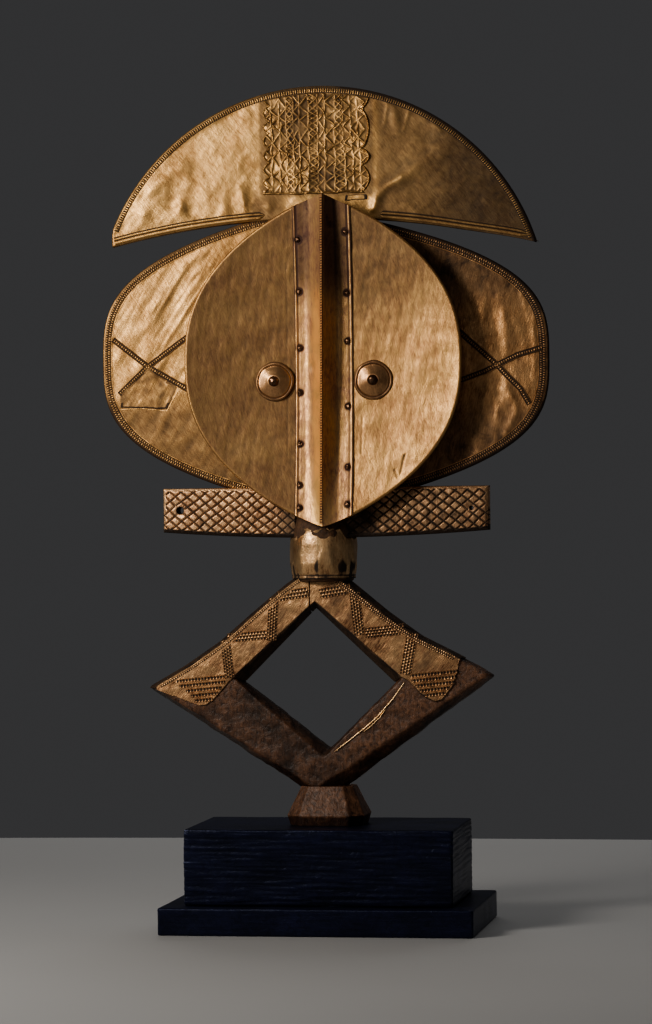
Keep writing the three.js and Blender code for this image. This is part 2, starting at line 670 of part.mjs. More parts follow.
function lobeSheet(side, lobe, cross) {
  const skinY = BOARD_FRONT_Y - SKIN_OUT;
  const bands = cross.map(([start, end]) => raisedBand(start, end, CROSS_BAND_WIDTH, skinY));
  const sheet = joined([boardSheet(lobeOutline(side, lobe), BOARD_FRONT_Y), ...bands]);
  const outer = beside(side, FACE_X + side * STRIP_HALF_WIDTH);
  const neighbours = [
    facePlaque(SKIN_IN),
    board(grown(crescentOutline(), SKIN_CLEAR), -FAR, FAR),
    board(grown(barOutline(), SKIN_CLEAR), -FAR, FAR),
  ];
  return cutBy(sheet.intersect(outer), neighbours);
}

function faceSheet(side) {
  const shell = facePlaque(SKIN_OUT).subtract(facePlaque(SKIN_IN));
  const keep = beside(side, FACE_X + side * (STRIP_HALF_WIDTH - STRIP_LAP), FACE_WRAP_Y);
  return shell.intersect(keep).subtract(neckTurning(SKIN_IN));
}

// Front skins of what lies on the face
const faceSheetFront = (x, z) => faceFront(x, z) - SKIN_OUT;
const stripBack = (x, z) => faceSheetFront(x, z) - GAP;
const stripFront = (x, z) => stripBack(x, z) - SHEET;

// The strip over the nose, from rim to rim, its ends following the face's outline.
function noseStrip() {
  const reaches = bothSides([...ridgeColumns, STRIP_HALF_WIDTH]);
  const skin = (depth) => reaches.map((reach) => faceRows.map((row) => {
    const [x, z] = faceGridPoint(reach, row, 0);
    return [x, depth(x, z), z];
  }));
  return twoSkins(skin(stripFront), skin(stripBack));
}

function eyeBoss(side) {
  const x = FACE_X + side * (STRIP_HALF_WIDTH + GAP + EYE_BOSS.radius);
  const seat = (px, pz) => faceSheetFront(px, pz) - GAP;
  const top = (px, pz) => seat(px, pz) - EYE_BOSS.height - GAP;
  return { boss: domeOn(seat, x, EYE_Z, EYE_BOSS), nail: domeOn(top, x, EYE_Z, EYE_NAIL) };
}

function stripNail(side, z) {
  const x = FACE_X + side * (STRIP_HALF_WIDTH - STRIP_NAIL_INSET);
  return domeOn((px, pz) => stripFront(px, pz) - GAP, x, z, STRIP_NAIL);
}

// The lattice on the bar: lozenge pillows between crossing valleys, on a grid of half cells.
function barLattice(left, right) {
  const across = Math.round((right - left) / LATTICE_CELL_WIDTH) * 2;
  const up = Math.round((BAR_HEIGHT - 2 * LATTICE_MARGIN) / LATTICE_CELL_HEIGHT * 2);
  const skinY = BAR_FRONT_Y - SKIN_OUT;
  const skin = (depth) => bySteps(across, (s) => s).map((s, i) => {
    const x = lerp(left, right, s);
    return bySteps(up, (t) => t).map((t, j) => [
      x, depth(i, j), lerp(barBottom(x) + LATTICE_MARGIN, BAR_TOP_Z - LATTICE_MARGIN, t),
    ]);
  });
  const isEdge = (i, j) => i === 0 || j === 0 || i === across || j === up;
  const isPeak = (i, j) => (i + j) % 2 === 1 && !isEdge(i, j);
  const front = skin((i, j) => skinY - GAP - (isPeak(i, j) ? LATTICE_RELIEF : 0));
  return twoSkins(front, skin(() => skinY + SHEET / 2), (i, j) => (i + j) % 2 === 0);
}

function barSheet(side) {
  const end = BAR_X + side * (BAR_HALF_LENGTH - LATTICE_MARGIN);
  const inner = NECK_X + side * NECK_RADIUS;
  const lattice = barLattice(Math.min(end, inner), Math.max(end, inner));
  const sheet = joined([boardSheet(barOutline(), BAR_FRONT_Y), lattice]);
  return cutBy(sheet.intersect(beside(side, inner)), [
    facePlaque(SKIN_IN), neckTurning(SKIN_CLEAR), ...BAR_HOLES.map(barHole),
    board(grown(lobeOutline(-1, LEFT_LOBE), SKIN_IN), BOARD_FRONT_Y - SKIN_IN, FAR),
    board(grown(lobeOutline(1, RIGHT_LOBE), SKIN_IN), BOARD_FRONT_Y - SKIN_IN, FAR),
  ]);
}

// The sheet round the neck, with a ragged upper edge.
function neckSheet() {
  const bottom = NECK_BOTTOM_Z + NECK_SHEET_RISE;
  const top = barBottom(NECK_X) - GAP;
  const turns = 2 * NECK_SHEET_TEETH;
  const sections = bySteps(turns, (t) => t * 2 * Math.PI).slice(0, turns).map((angle, at) => {
    const crown = top - (at % 2) * NECK_SHEET_TOOTH;
    const skinPoint = (z, skin) => {
      const radius = neckRadiusAt(z) + skin;
      return [NECK_X + radius * Math.cos(angle), radius * Math.sin(angle), z];
    };
    const heights = [bottom, NECK_SHOULDER_Z, crown];
    return [
      ...heights.map((z) => skinPoint(z, SKIN_OUT)),
      ...heights.reverse().map((z) => skinPoint(z, SKIN_IN)),
    ];
  });
  return ringOf(sections).subtract(lozengeRing(SKIN_IN));
}

function armSheet(side, end) {
  const shell = lozengeRing(SKIN_OUT).subtract(lozengeRing(SKIN_IN));
  const seamX = ARM_SEAM_X + side * GAP / 2;
  const [farX] = end[end.length - 1];
  const region = board(
    [[seamX, NECK_TOP_Z], [seamX, ARM_SEAM_BOTTOM_Z], ...end, [farX, NECK_TOP_Z]],
    -FAR, ARM_SHEET_WRAP_Y,
  );
  return shell.intersect(region).subtract(neckTurning(SKIN_CLEAR));
}

// Repairs

const lobePatch = () => {
  const y = BOARD_FRONT_Y - SKIN_CLEAR;
  return board(PATCH_OUTLINE, y - PATCH, y);
};

const crownStrip = () => {
  const y = BOARD_FRONT_Y - SKIN_CLEAR;
  const { left, right, bottom, top } = CROWN_STRIP;
  return slabBetween(left, right, y - PATCH, y, bottom, top);
};

// Materials
const metal = (color, roughness) =>
  new THREE.MeshStandardMaterial({ color, roughness, metalness: 0.9 });
const brass = metal(0xa97b45, 0.42);
const copper = metal(0x9c6240, 0.36);
const iron = metal(0x3a2a20, 0.6);
const wood = new THREE.MeshStandardMaterial({ color: 0x5a3d26, roughness: 0.7, metalness: 0 });
const black = new THREE.MeshStandardMaterial({ color: 0x14161c, roughness: 0.5, metalness: 0 });

const named = (name, geometry, material) => {
  const mesh = new THREE.Mesh(geometry, material);
  mesh.name = name;
  return mesh;
};
const piece = (name, solid, material) => named(name, geometryOf(solid), material);

// Assembly
const figure = new THREE.Group();
figure.position.z = FOOT_BASE_Z;
figure.add(
  piece('wooden_figure', woodenFigure(), wood),
  piece('crescent_sheet', crescentSheet(), brass),
  piece('crown_repair_strip', crownStrip(), brass),
  piece('left_lobe_sheet', lobeSheet(-1, LEFT_LOBE, LEFT_CROSS), brass),
  piece('left_lobe_patch', lobePatch(), brass),
  piece('right_lobe_sheet', lobeSheet(1, RIGHT_LOBE, RIGHT_CROSS), brass),
  piece('left_face_sheet', faceSheet(-1), brass),
  piece('right_face_sheet', faceSheet(1), brass),
  piece('nose_strip', noseStrip(), copper),
  piece('left_bar_sheet', barSheet(-1), brass),
  piece('right_bar_sheet', barSheet(1), brass),
  piece('neck_sheet', neckSheet(), brass),
  piece('left_arm_sheet', armSheet(-1, LEFT_ARM_SHEET_END), brass),
  piece('right_arm_sheet', armSheet(1, RIGHT_ARM_SHEET_END), brass),
);
[['left', -1], ['right', 1]].forEach(([word, side]) => {
  const { boss, nail } = eyeBoss(side);
  figure.add(piece(`${word}_eye`, boss, brass), piece(`${word}_eye_nail`, nail, iron));
  const heights = side < 0 ? LEFT_NAIL_HEIGHTS : RIGHT_NAIL_HEIGHTS;
  heights.forEach((z, at) => {
    figure.add(piece(`${word}_strip_nail_${at + 1}`, stripNail(side, z), iron));
  });
});

const stand = new THREE.Group();
const standPiece = (name, width, depth, height, bottomZ) => {
  const geometry = new RoundedBoxGeometry(
    width, depth, height, STAND_EDGE_STEPS, STAND_EDGE_RADIUS,
  );
  const mesh = piece(name, solidOf(geometry), black);
  mesh.position.z = bottomZ + height / 2;
  return mesh;
};
stand.add(
  standPiece('stand_plate', PLATE_WIDTH, PLATE_DEPTH, PLATE_HEIGHT, 0),
  standPiece('stand_block', BLOCK_WIDTH, BLOCK_DEPTH, BLOCK_HEIGHT, PLATE_HEIGHT + GAP),
);

const group = new THREE.Group();
group.add(stand, figure);

export default group;
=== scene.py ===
import bmesh
import bpy
import numpy as np
from mathutils import Matrix, Vector


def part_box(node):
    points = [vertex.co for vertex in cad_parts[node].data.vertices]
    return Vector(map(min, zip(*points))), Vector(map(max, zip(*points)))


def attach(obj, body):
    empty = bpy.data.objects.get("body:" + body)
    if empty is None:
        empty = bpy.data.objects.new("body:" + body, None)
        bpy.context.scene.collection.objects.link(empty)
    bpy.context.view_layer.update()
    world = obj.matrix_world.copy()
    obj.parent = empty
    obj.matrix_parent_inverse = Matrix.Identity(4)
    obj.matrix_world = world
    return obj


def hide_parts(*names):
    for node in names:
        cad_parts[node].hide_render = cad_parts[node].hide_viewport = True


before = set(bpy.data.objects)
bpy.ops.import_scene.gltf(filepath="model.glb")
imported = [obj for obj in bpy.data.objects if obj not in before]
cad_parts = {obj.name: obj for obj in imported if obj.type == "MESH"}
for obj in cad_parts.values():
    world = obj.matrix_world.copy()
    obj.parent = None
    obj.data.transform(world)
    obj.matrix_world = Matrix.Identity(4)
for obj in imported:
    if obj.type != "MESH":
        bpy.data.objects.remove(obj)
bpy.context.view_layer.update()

# A kota reliquary figure on its stand. Every new piece is a surface worked out with numpy, in
# millimetres: x to the viewer's right, y backwards, z up from the underside of the foot. A flat
# sheet's height over its board counts forwards, towards -y.
MM = 0.001
FOOT_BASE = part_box("wooden_figure")[0][2] / MM
PLATE_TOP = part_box("stand_plate")[1][2] / MM
SEED = 7

# Fits, as in the solids
GAP = 0.3
SHEET = 0.9
SKIN = GAP + SHEET

# Boards
CROWN_X, CROWN_Z, CROWN_R = -3, 413.3, 185.1
UNDER_X, UNDER_APEX_Z, UNDER_R = -9.6, 493, 691.4
CROWN_LEFT_X, CROWN_RIGHT_X = -173.4, 175.2
CROWN_TIP_X, TIP_LIFT = 174.0, 2.3
BOARD_FRONT, BOARD_BACK = -8, 5
BOARD_WRAP_Y = -3
LOBE_REACH = 182.3
LEFT_LOBE = (378.9, 126.3, 3.08)
RIGHT_LOBE = (376.7, 121, 3.17)
BAR_X, BAR_HALF, BAR_TOP, BAR_HEIGHT, BAR_BOW = 0.8, 132.4, 272.4, 33.4, 5.2
BAR_FRONT, BAR_BACK = -13, 3
BAR_HOLE_INSET, BAR_SHEET_START = 12.8, 21

# Face
FACE_X, FACE_Z = 2.8, 375.3
FACE_HALF_WIDTH, FACE_HALF_HEIGHT = 112, 133.2
FACE_POWER_X, FACE_POWER_Z = 1.17, 2.38
FACE_RIM, DISH, UNDERCUT = -32, 12, 16
NOSE_LEFT, NOSE_RIGHT, NOSE_COVE, NOSE_LEAN = 16, 12.5, 1.8, 3.2
NOSE_TOP, NOSE_BOTTOM = -44, -37
STRIP_HALF, STRIP_LAP = 23.6, 4.5
EYE_R, EYE_Z = 16.5, 359.4
LEFT_NAILS = (473.3, 431.5, 386.2, 350.1, 308.5, 275.1, 256.8)
RIGHT_NAILS = (478.9, 429.9, 391.1, 338.6, 289.5, 259.3)
NAIL_R, NAIL_HEIGHT, NAIL_INSET = 2.3, 1.3, 4

# Neck, lozenge and foot
NECK_X, NECK_R, NECK_END_R, NECK_BOTTOM, NECK_TOP = -2.6, 26, 24.2, 197, 238.4
NECK_SHEET_LOW, NECK_GROOVE_Z, NECK_SHEET_TOP = 199.6, 202, 232
SPINE_TOP, SPINE_MIDDLE_Z, SPINE_MIDDLE_R = 345, 281, 16
BACK_LOZENGE_Z, BACK_LOZENGE_HALF_WIDTH, BACK_LOZENGE_HALF_HEIGHT = 398, 34, 72
LOZENGE_FRONT, LOZENGE_SHOULDER, LOZENGE_BACK = -14, 5, 13
LOZENGE_OUT = ((-147.5, 110.4), (-3, 214), (137.6, 120), (-3, 17.4))
LOZENGE_IN = ((-69, 116.4), (-8.5, 177.4), (57, 115.4), (1.5, 61.4))
LOZENGE_FRONT_OUT = ((-140.5, 110.9), (-4, 210), (133.5, 121.5), (-9, 28.9))
LOZENGE_FRONT_IN = ((-77, 120), (-8, 182.4), (63.5, 119.4), (-2, 54.4))
LOZENGE_BACK_OUT = ((-138, 112), (-3, 208), (129, 120), (-3, 25))
LOZENGE_BACK_IN = ((-76, 116.4), (-8.5, 183), (64, 115.4), (1.5, 55))
LOZENGE_BOWS = ((0, -3.7, -4.6, -1.4, 1, 0), (0, -2.4, -5.9, -7.2, -3, 0), (0, 0), (0, 0))
# Each (height, half width, half depth, corner cut off); the first and last close the ends
FOOT_LAYERS = (
    (0, 8, 8, 3), (0, 29.5, 26, 10), (8, 31.8, 28.5, 11), (31, 21.2, 17.5, 7), (31, 8, 6, 2),
)

# Stand
BLOCK_WIDTH, BLOCK_DEPTH, PLATE_WIDTH, PLATE_DEPTH, STAND_EDGE = 218, 125, 254, 161, 1.6


# Noise and grids


def smooth_noise(a, b, cell, seed=SEED):
    """Gradient noise from about -1 to 1: each corner of a square lattice has a random slope, and
    the four slopes round a point are blended by 6t^5 - 15t^4 + 10t^3."""
    turns = np.random.default_rng(seed).uniform(0, 2 * np.pi, (64, 64))
    a, b = np.broadcast_arrays(np.asarray(a, float) / cell, np.asarray(b, float) / cell)
    i, j = np.floor(a).astype(int), np.floor(b).astype(int)
    s, t = a - i, b - j
    fade_s, fade_t = (u**3 * (u * (6 * u - 15) + 10) for u in (s, t))

    def corner(di, dj):
        """The slope of one corner of the square, at the point."""
        turn = turns[(i + di) % 64, (j + dj) % 64]
        return np.cos(turn) * (s - di) + np.sin(turn) * (t - dj)

    low = corner(0, 0) * (1 - fade_s) + corner(1, 0) * fade_s
    high = corner(0, 1) * (1 - fade_s) + corner(1, 1) * fade_s
    return 1.5 * (low * (1 - fade_t) + high * fade_t)


def beaten(a, b, cells, heights, seed=SEED):
    """Several noises added: one of each cell size, times its height."""
    return sum(
        height * smooth_noise(a, b, cell, seed + at)
        for at, (cell, height) in enumerate(zip(cells, heights))
    )


def turned(a, b, degrees):
    """The two coordinates measured along axes that are turned by an angle."""
    angle = np.radians(degrees)
    return a * np.cos(angle) + b * np.sin(angle), b * np.cos(angle) - a * np.sin(angle)


def step_up(value, low, high):
    """0 below low, 1 above high, and a smooth rise between."""
    t = np.clip((value - low) / (high - low), 0, 1)
    return t * t * (3 - 2 * t)


def bell(distance, width):
    """A bump of height 1 that has fallen to a third at one width from its middle."""
    return np.exp(-((distance / width) ** 2))


def dents(x, z, marks):
    """Round or long dents and bulges: each is (x, z, half width, half height, turn, depth)."""
    total = 0
    for mark_x, mark_z, half_width, half_height, turn, depth in marks:
        along, up = turned(x - mark_x, z - mark_z, turn)
        total = total + depth * bell(np.hypot(along / half_width, up / half_height), 1)
    return total


def line_distance(x, z, points):
    """The distance from each point to a line of straight stretches."""
    nearest = np.full(np.shape(x), np.inf)
    for (x0, z0), (x1, z1) in zip(points[:-1], points[1:]):
        run_x, run_z = x1 - x0, z1 - z0
        share = ((x - x0) * run_x + (z - z0) * run_z) / (run_x**2 + run_z**2)
        share = np.clip(share, 0, 1)
        nearest = np.minimum(nearest, np.hypot(x - x0 - share * run_x, z - z0 - share * run_z))
    return nearest


def creased(height, x, z, lines):
    """A height with folds and creases added: each line's rise times a bell of its distance."""
    for line, rise, width in lines:
        height = height + rise * bell(line_distance(x, z, line), width)
    return height


def strokes(x, z, degrees, longer, cells, heights, seed):
    """Strokes that lean: several noises, drawn out along one direction."""
    along, over = turned(x, z, degrees)
    return beaten(over, along / longer, cells, heights, seed)


def softened(values, times):
    """Each value of a grid averaged with its four neighbours, several times over."""
    for _ in range(times):
        padded = np.pad(values, 1, mode="edge")
        ring = padded[:-2, 1:-1] + padded[2:, 1:-1] + padded[1:-1, :-2] + padded[1:-1, 2:]
        values = (ring + 2 * values) / 6
    return values


def eased(count, low=0.0, high=1.0):
    """Numbers from low to high that crowd at both ends, as the cosine of an even turn."""
    return low + (high - low) * (1 - np.cos(np.linspace(0, np.pi, count))) / 2


def resampled(points, step):
    """Points at an even step along a line of straight stretches."""
    points = np.asarray(points, float)
    lengths = np.r_[0, np.cumsum(np.hypot(*np.diff(points, axis=0).T))]
    at = np.linspace(0, lengths[-1], max(int(lengths[-1] / step), 2) + 1)
    return np.stack([np.interp(at, lengths, column) for column in points.T], axis=-1), at


def sideways(steps):
    """Unit vectors square to the steps along a line, to their left."""
    steps = steps / np.linalg.norm(steps, axis=1, keepdims=True)
    return np.stack([-steps[:, 1], steps[:, 0]], axis=1)


def rounded_off(points, times, weight, axis=0):
    """A closed line's points averaged with their two neighbours, several times over; the weight
    is each point's own, against 1 for a neighbour."""
    for _ in range(times):
        ring = np.roll(points, 1, axis) + weight * points + np.roll(points, -1, axis)
        points = ring / (weight + 2)
    return points


def nearest_at(line, point):
    """The number of the point on a line that lies nearest to a place."""
    return int(np.argmin(np.hypot(*(line - point).T)))


def grid_normals(points, around_u=False, around_v=False):
    """Unit normals of a grid: the cross product of its two slopes."""
    def slope(axis, around):
        """From a point's neighbour on one side to that on the other."""
        if around:
            return np.roll(points, -1, axis) - np.roll(points, 1, axis)
        return np.gradient(points, axis=axis)

    normals = np.cross(slope(0, around_u), slope(1, around_v))
    return normals / np.maximum(np.linalg.norm(normals, axis=-1, keepdims=True), 1e-9)


# Meshes


def quads_of(numbers, around_u=False, around_v=False):
    """The four-cornered faces between neighbours on a grid of corner numbers."""
    if around_u:
        numbers = np.concatenate([numbers, numbers[:1]])
    if around_v:
        numbers = np.concatenate([numbers, numbers[:, :1]], axis=1)
    ring = [numbers[:-1, :-1], numbers[1:, :-1], numbers[1:, 1:], numbers[:-1, 1:]]
    return np.stack(ring, axis=-1).reshape(-1, 4)


def outward(points, faces):
    """The faces, turned round if the body's volume comes out negative."""
    volume = 0.0
    for group in faces:
        for third in range(2, group.shape[1]):
            a, b, c = (points[group[:, k]] for k in (0, third - 1, third))
            volume += np.einsum("ij,ij->i", a, np.cross(b, c)).sum()
    return faces if volume > 0 else [group[:, ::-1] for group in faces]


def body_patch(points, tone=0.5, around_u=False, around_v=True):
    """A closed body from a grid: a ring of v carried along u, its ends drawn to a point."""
    points = np.asarray(points, float)
    tone = np.broadcast_to(tone, points.shape[:2])
    if not around_u:
        first, last = (
            np.broadcast_to(end.mean(axis=0), end.shape)[None] for end in (points[0], points[-1])
        )
        points = np.concatenate([first, points, last])
        tone = np.concatenate([tone[:1], tone, tone[-1:]])
    numbers = np.arange(points.shape[0] * points.shape[1]).reshape(points.shape[:2])
    flat = points.reshape(-1, 3)
    return flat, outward(flat, [quads_of(numbers, around_u, around_v)]), tone.ravel()


def sheet_patch(front, tone=0.5, thickness=SHEET, stride=4):
    """A closed sheet: a fine front grid, a back one that is its thickness behind it along the
    normal and has only every so many rows and columns, and walls of many-cornered faces. The
    last row and column are repeated until the stride divides the counts less one."""
    short = [(0, -(count - 1) % stride) for count in front.shape[:2]]
    tone = np.pad(np.broadcast_to(tone, front.shape[:2]), short, mode="edge")
    front = np.pad(front, (*short, (0, 0)), mode="edge")
    if grid_normals(front)[len(front) // 2, front.shape[1] // 2, 1] > 0:
        front, tone = front[::-1], tone[::-1]
    rows, columns = front.shape[:2]
    coarse = front[::stride, ::stride]
    back = coarse - thickness * grid_normals(coarse)
    front_at = np.arange(rows * columns).reshape(rows, columns)
    back_at = rows * columns + np.arange(back.shape[0] * back.shape[1]).reshape(back.shape[:2])
    walls = []
    for fine, thin, turn in (
        (front_at[:, 0], back_at[:, 0], -1), (front_at[-1], back_at[-1], -1),
        (front_at[:, -1], back_at[:, -1], 1), (front_at[0], back_at[0], 1),
    ):
        fans = [fine[k : len(fine) - stride + k : stride] for k in range(stride + 1)]
        walls.append(np.stack([thin[1:], thin[:-1], *fans], axis=-1)[:, ::turn])
    faces = [quads_of(front_at), quads_of(back_at)[:, ::-1], *walls]
    points = np.concatenate([front.reshape(-1, 3), back.reshape(-1, 3)])
    tones = np.concatenate([tone.ravel(), tone[::stride, ::stride].ravel()])
    return points, outward(points, faces), tones


def toned_sheet(shaped):
    """A closed sheet from a grid of (x, y, z, tone)."""
    return sheet_patch(shaped[..., :3], shaped[..., 3])


def placed(name, data):
    """A new object at the origin of the scene."""
    made = bpy.data.objects.new(name, data)
    bpy.context.scene.collection.objects.link(made)
    return made


def piece(name, patches, material, slot, *nodes, base=FOOT_BASE, sharp=40):
    """One Blender object from closed patches: equal corners are welded, edges sharper than an
    angle stay sharp, and the patches' tone becomes the attribute that darkens hollows and
    carries painted shade and painted highlights."""
    points = np.concatenate([patch[0] for patch in patches])
    tones = np.concatenate([patch[2] for patch in patches])
    starts = np.cumsum([0] + [len(patch[0]) for patch in patches[:-1]])
    groups = [group + start for patch, start in zip(patches, starts) for group in patch[1]]
    corners = np.concatenate([group.ravel() for group in groups])
    sizes = np.concatenate([np.full(len(group), group.shape[1]) for group in groups])

    mesh = bpy.data.meshes.new(name)
    mesh.vertices.add(len(points))
    mesh.vertices.foreach_set("co", ((points + (0, 0, base)) * MM).astype(np.float32).ravel())
    mesh.loops.add(len(corners))
    mesh.loops.foreach_set("vertex_index", corners.astype(np.int32))
    mesh.polygons.add(len(sizes))
    mesh.polygons.foreach_set("loop_start", np.r_[0, np.cumsum(sizes)[:-1]].astype(np.int32))
    mesh.update(calc_edges=True)
    layer = mesh.attributes.new("tone", "FLOAT", "POINT")
    layer.data.foreach_set("value", np.clip(tones, 0, 1).astype(np.float32))

    work = bmesh.new()
    work.from_mesh(mesh)
    bmesh.ops.remove_doubles(work, verts=work.verts, dist=2e-6)
    bmesh.ops.dissolve_degenerate(work, edges=work.edges, dist=1e-6)
    work.to_mesh(mesh)
    work.free()
    mesh.shade_smooth()
    mesh.set_sharp_from_angle(angle=np.radians(sharp))
    mesh.materials.append(material)

    made = placed(name, mesh)
    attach(made, "root")
    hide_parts(*nodes)
    return made


# Lines and bands that stand on a surface


def swept_line(path, seat, width, section, step=0.6, across=7, sink=0.25, taper=(0, 0)):
    """A raised line along a path on a surface. Each station has points across the width, and
    section(distance along, share across from -1 to 1) gives each its height over the seat and
    its tone; one point under them closes the ring. seat(x, z) is the surface's y, and the taper's
    two lengths are those over which the line grows from nothing at its ends."""
    points, along = resampled(path, step)
    normal = sideways(np.gradient(points, axis=0))
    from_start = (along + 0.1) / (taper[0] + 0.1)
    from_end = (along[-1] - along + 0.1) / (taper[1] + 0.1)
    grow = np.clip(np.minimum(from_start, from_end), 0.05, 1)[:, None]
    share = np.linspace(-1, 1, across)
    x = points[:, None, 0] + normal[:, None, 0] * share * width / 2 * grow
    z = points[:, None, 1] + normal[:, None, 1] * share * width / 2 * grow
    height, tone = section(along[:, None], share[None, :])
    y = seat(x, z) - height * grow + sink * (np.abs(share) > 0.99)
    top = np.stack([x, y, z], axis=-1)
    under = np.stack(
        [points[:, 0], seat(points[:, 0], points[:, 1]) + 2 * sink, points[:, 1]], axis=-1
    )
    ring = np.concatenate([top, under[:, None]], axis=1)
    return body_patch(ring, np.concatenate([tone, tone[:, :1]], axis=1))


def bead_line(height, low=0.3, high=0.85):
    """A half-round line's section."""
    def section(along, share):
        """Height times the square root of 1 - share^2, brightest on top."""
        arch = np.sqrt(np.clip(1 - share**2, 0, 1)) + 0 * along
        return height * arch, low + (high - low) * arch

    return section


def moulding(*corners):
    """A section through (share across, height, tone) corners."""
    places, heights, tones = np.array(corners, float).T

    def section(along, share):
        """Straight from corner to corner, and the same all along."""
        return tuple(np.interp(share, places, ends) + 0 * along for ends in (heights, tones))

    return section


def corded(height, pitch):
    """A row of small beads between two dark grooves, each with a bright lip."""
    def section(along, share):
        """A bead at each crest of a cosine along the line, and a bell at 0.9 of the width."""
        off = np.abs(share)
        dot = 0.5 + 0.5 * np.cos(2 * np.pi * along / pitch)
        bead = step_up(dot, 0.1, 0.8) * np.sqrt(np.clip(1 - (off / 0.4) ** 2, 0, 1))
        lip = bell(off - 0.9, 0.08) + 0 * along
        return 0.05 + height * bead + 0.25 * lip, 0.6 * bead + 0.55 * lip

    return section


def ticked(height, pitch, rows=1):
    """Short raised ticks side by side across a band, in rows, with dark gaps between."""
    def section(along, share):
        """A tick at each crest of a cosine along the line, and a gap at each row's edge."""
        place = np.clip((share + 1) / 2 * rows, 0, rows - 1e-6)
        row = np.floor(place)
        tick = 0.5 + 0.5 * np.cos(2 * np.pi * (along / pitch + 0.4 * row))
        body = step_up(tick, 0.3, 0.8) * (1 - step_up(np.abs(2 * (place - row) - 1), 0.45, 0.85))
        return height * body + 0.05, 0.9 * body

    return section


def dimmed(section, less, start=-2.0, end=-1.0):
    """A section whose tone is less by a share, from one distance along its line to another."""
    def dimmer(along, share):
        """The same height, and less tone."""
        height, tone = section(along, share)
        return height, tone * (1 - less * step_up(along, start, end))

    return dimmer


def punched(height, pitch, rows):
    """Rows of dark holes punched into a band of metal between thin ridges, each row half a pitch
    on from the last."""
    def section(along, share):
        """A hole where a cosine along the line and one across it are both high."""
        place = np.clip((share + 1) / 2 * rows, 0, rows - 1e-6)
        row = np.floor(place)
        dot = 0.5 + 0.5 * np.cos(2 * np.pi * (along / pitch + 0.5 * row))
        hole = step_up(dot * (0.5 - 0.5 * np.cos(2 * np.pi * (place - row))), 0.08, 0.36)
        edge = 1 - step_up(np.abs(share), 0.88, 1)
        ridge = bell((place - np.round(place)) * 4, 1)
        return (height * (1 - hole) + 0.2 * ridge) * edge + 0.03, 0.5 + 0.3 * ridge - 0.62 * hole

    return section


# Crown


def crown_height(x, grow=0.0):
    """The crescent's upper edge: a circle's height over x."""
    return CROWN_Z + np.sqrt(np.clip((CROWN_R + grow) ** 2 - (x - CROWN_X) ** 2, 0, None))


def under_height(x, grow=0.0):
    """The crescent's lower edge: a flatter circle's height over x, lifted at its right end."""
    centre_z = UNDER_APEX_Z - UNDER_R
    lift = TIP_LIFT * step_up(x, 110, 178)
    return centre_z + np.sqrt((UNDER_R - grow) ** 2 - (x - UNDER_X) ** 2) + lift


def rolled(distance, radius):
    """How far a sheet has bent back at a distance from its edge: a quarter circle's drop."""
    inside = np.clip(radius - distance, 0, radius)
    return radius - np.sqrt(np.maximum(radius**2 - inside**2, 0))


def kept_above(height, floor):
    """A height that sinks no deeper than the floor: below 0 it is the floor's depth times the
    hyperbolic tangent of height / depth."""
    return np.where(height < 0, -floor * np.tanh(-height / floor), height)


CROWN_DENTS = (
    (52, 578, 5, 14, 12, -0.8), (60, 574, 5, 15, 14, 1.2), (68, 570, 6, 12, 20, -0.9),
    (84, 559, 10, 7, -30, -0.8), (93, 564, 7, 5, 0, 0.8), (-117, 503, 5, 6, 0, 1.0),
    (-124, 506, 5, 5, 0, -0.7), (-96, 512, 6, 9, 30, 0.7), (-60, 546, 10, 22, -8, -0.7),
    (-66, 509, 5.5, 11, 6, 0.7), (-57, 511, 5, 11, 8, -0.5), (-44, 502, 5, 5, 0, 1.2),
    (-50, 497, 4, 4, 30, -0.8), (44, 501, 5, 12, -12, 1.7), (52, 510, 6, 15, -40, -0.8),
    (66, 523, 15, 5, 38, 1.2), (78, 516, 12, 9, 20, -0.9), (120, 530, 18, 12, -30, -0.6),
    (-100, 560, 20, 9, 35, -0.6), (-136, 520, 14, 7, 40, 0.7), (-90, 585, 14, 7, 30, 0.7),
    (-148, 500, 6, 7, 0, 0.8), (-108, 499, 5, 6, 0, -0.7), (-80, 500, 5, 7, 0, 0.7),
    (140, 500, 11, 7, -20, 0.7), (105, 498, 7, 6, 0, -0.6), (98, 548, 8, 15, -30, 0.8),
    (-75, 570, 9, 12, 30, -0.6), (-118, 538, 9, 7, 0, 0.6), (-128, 551, 7, 6, 0, -0.6),
)
CROWN_CREASES = (
    (((42, 498), (46, 508), (54, 517), (65, 523)), 0.8, 3.0),
    (((-68, 518), (-64, 508), (-63, 499)), 0.35, 2.4),
    (((46, 592), (54, 583), (52, 568)), 0.6, 2.0),
    (((64, 590), (72, 578), (68, 563)), 0.6, 2.0),
    (((88, 574), (97, 561)), 0.5, 2.2),
)


def crown_relief(x, z):
    """The crescent sheet's height over its board: broad and fine beating, faint slanting strokes,
    dents and creases."""
    height = beaten(x, z, (58, 24, 12, 6), (0.9, 0.5, 0.28, 0.12), seed=11)
    height = height + strokes(x, z, 50, 5, (5, 2.6), (0.08, 0.03), 15)
    height = creased(height + dents(x, z, CROWN_DENTS), x, z, CROWN_CREASES)
    inside = np.minimum(crown_height(x) - z, z - under_height(x))
    return kept_above(height * step_up(inside, 1, 9), 0.85)


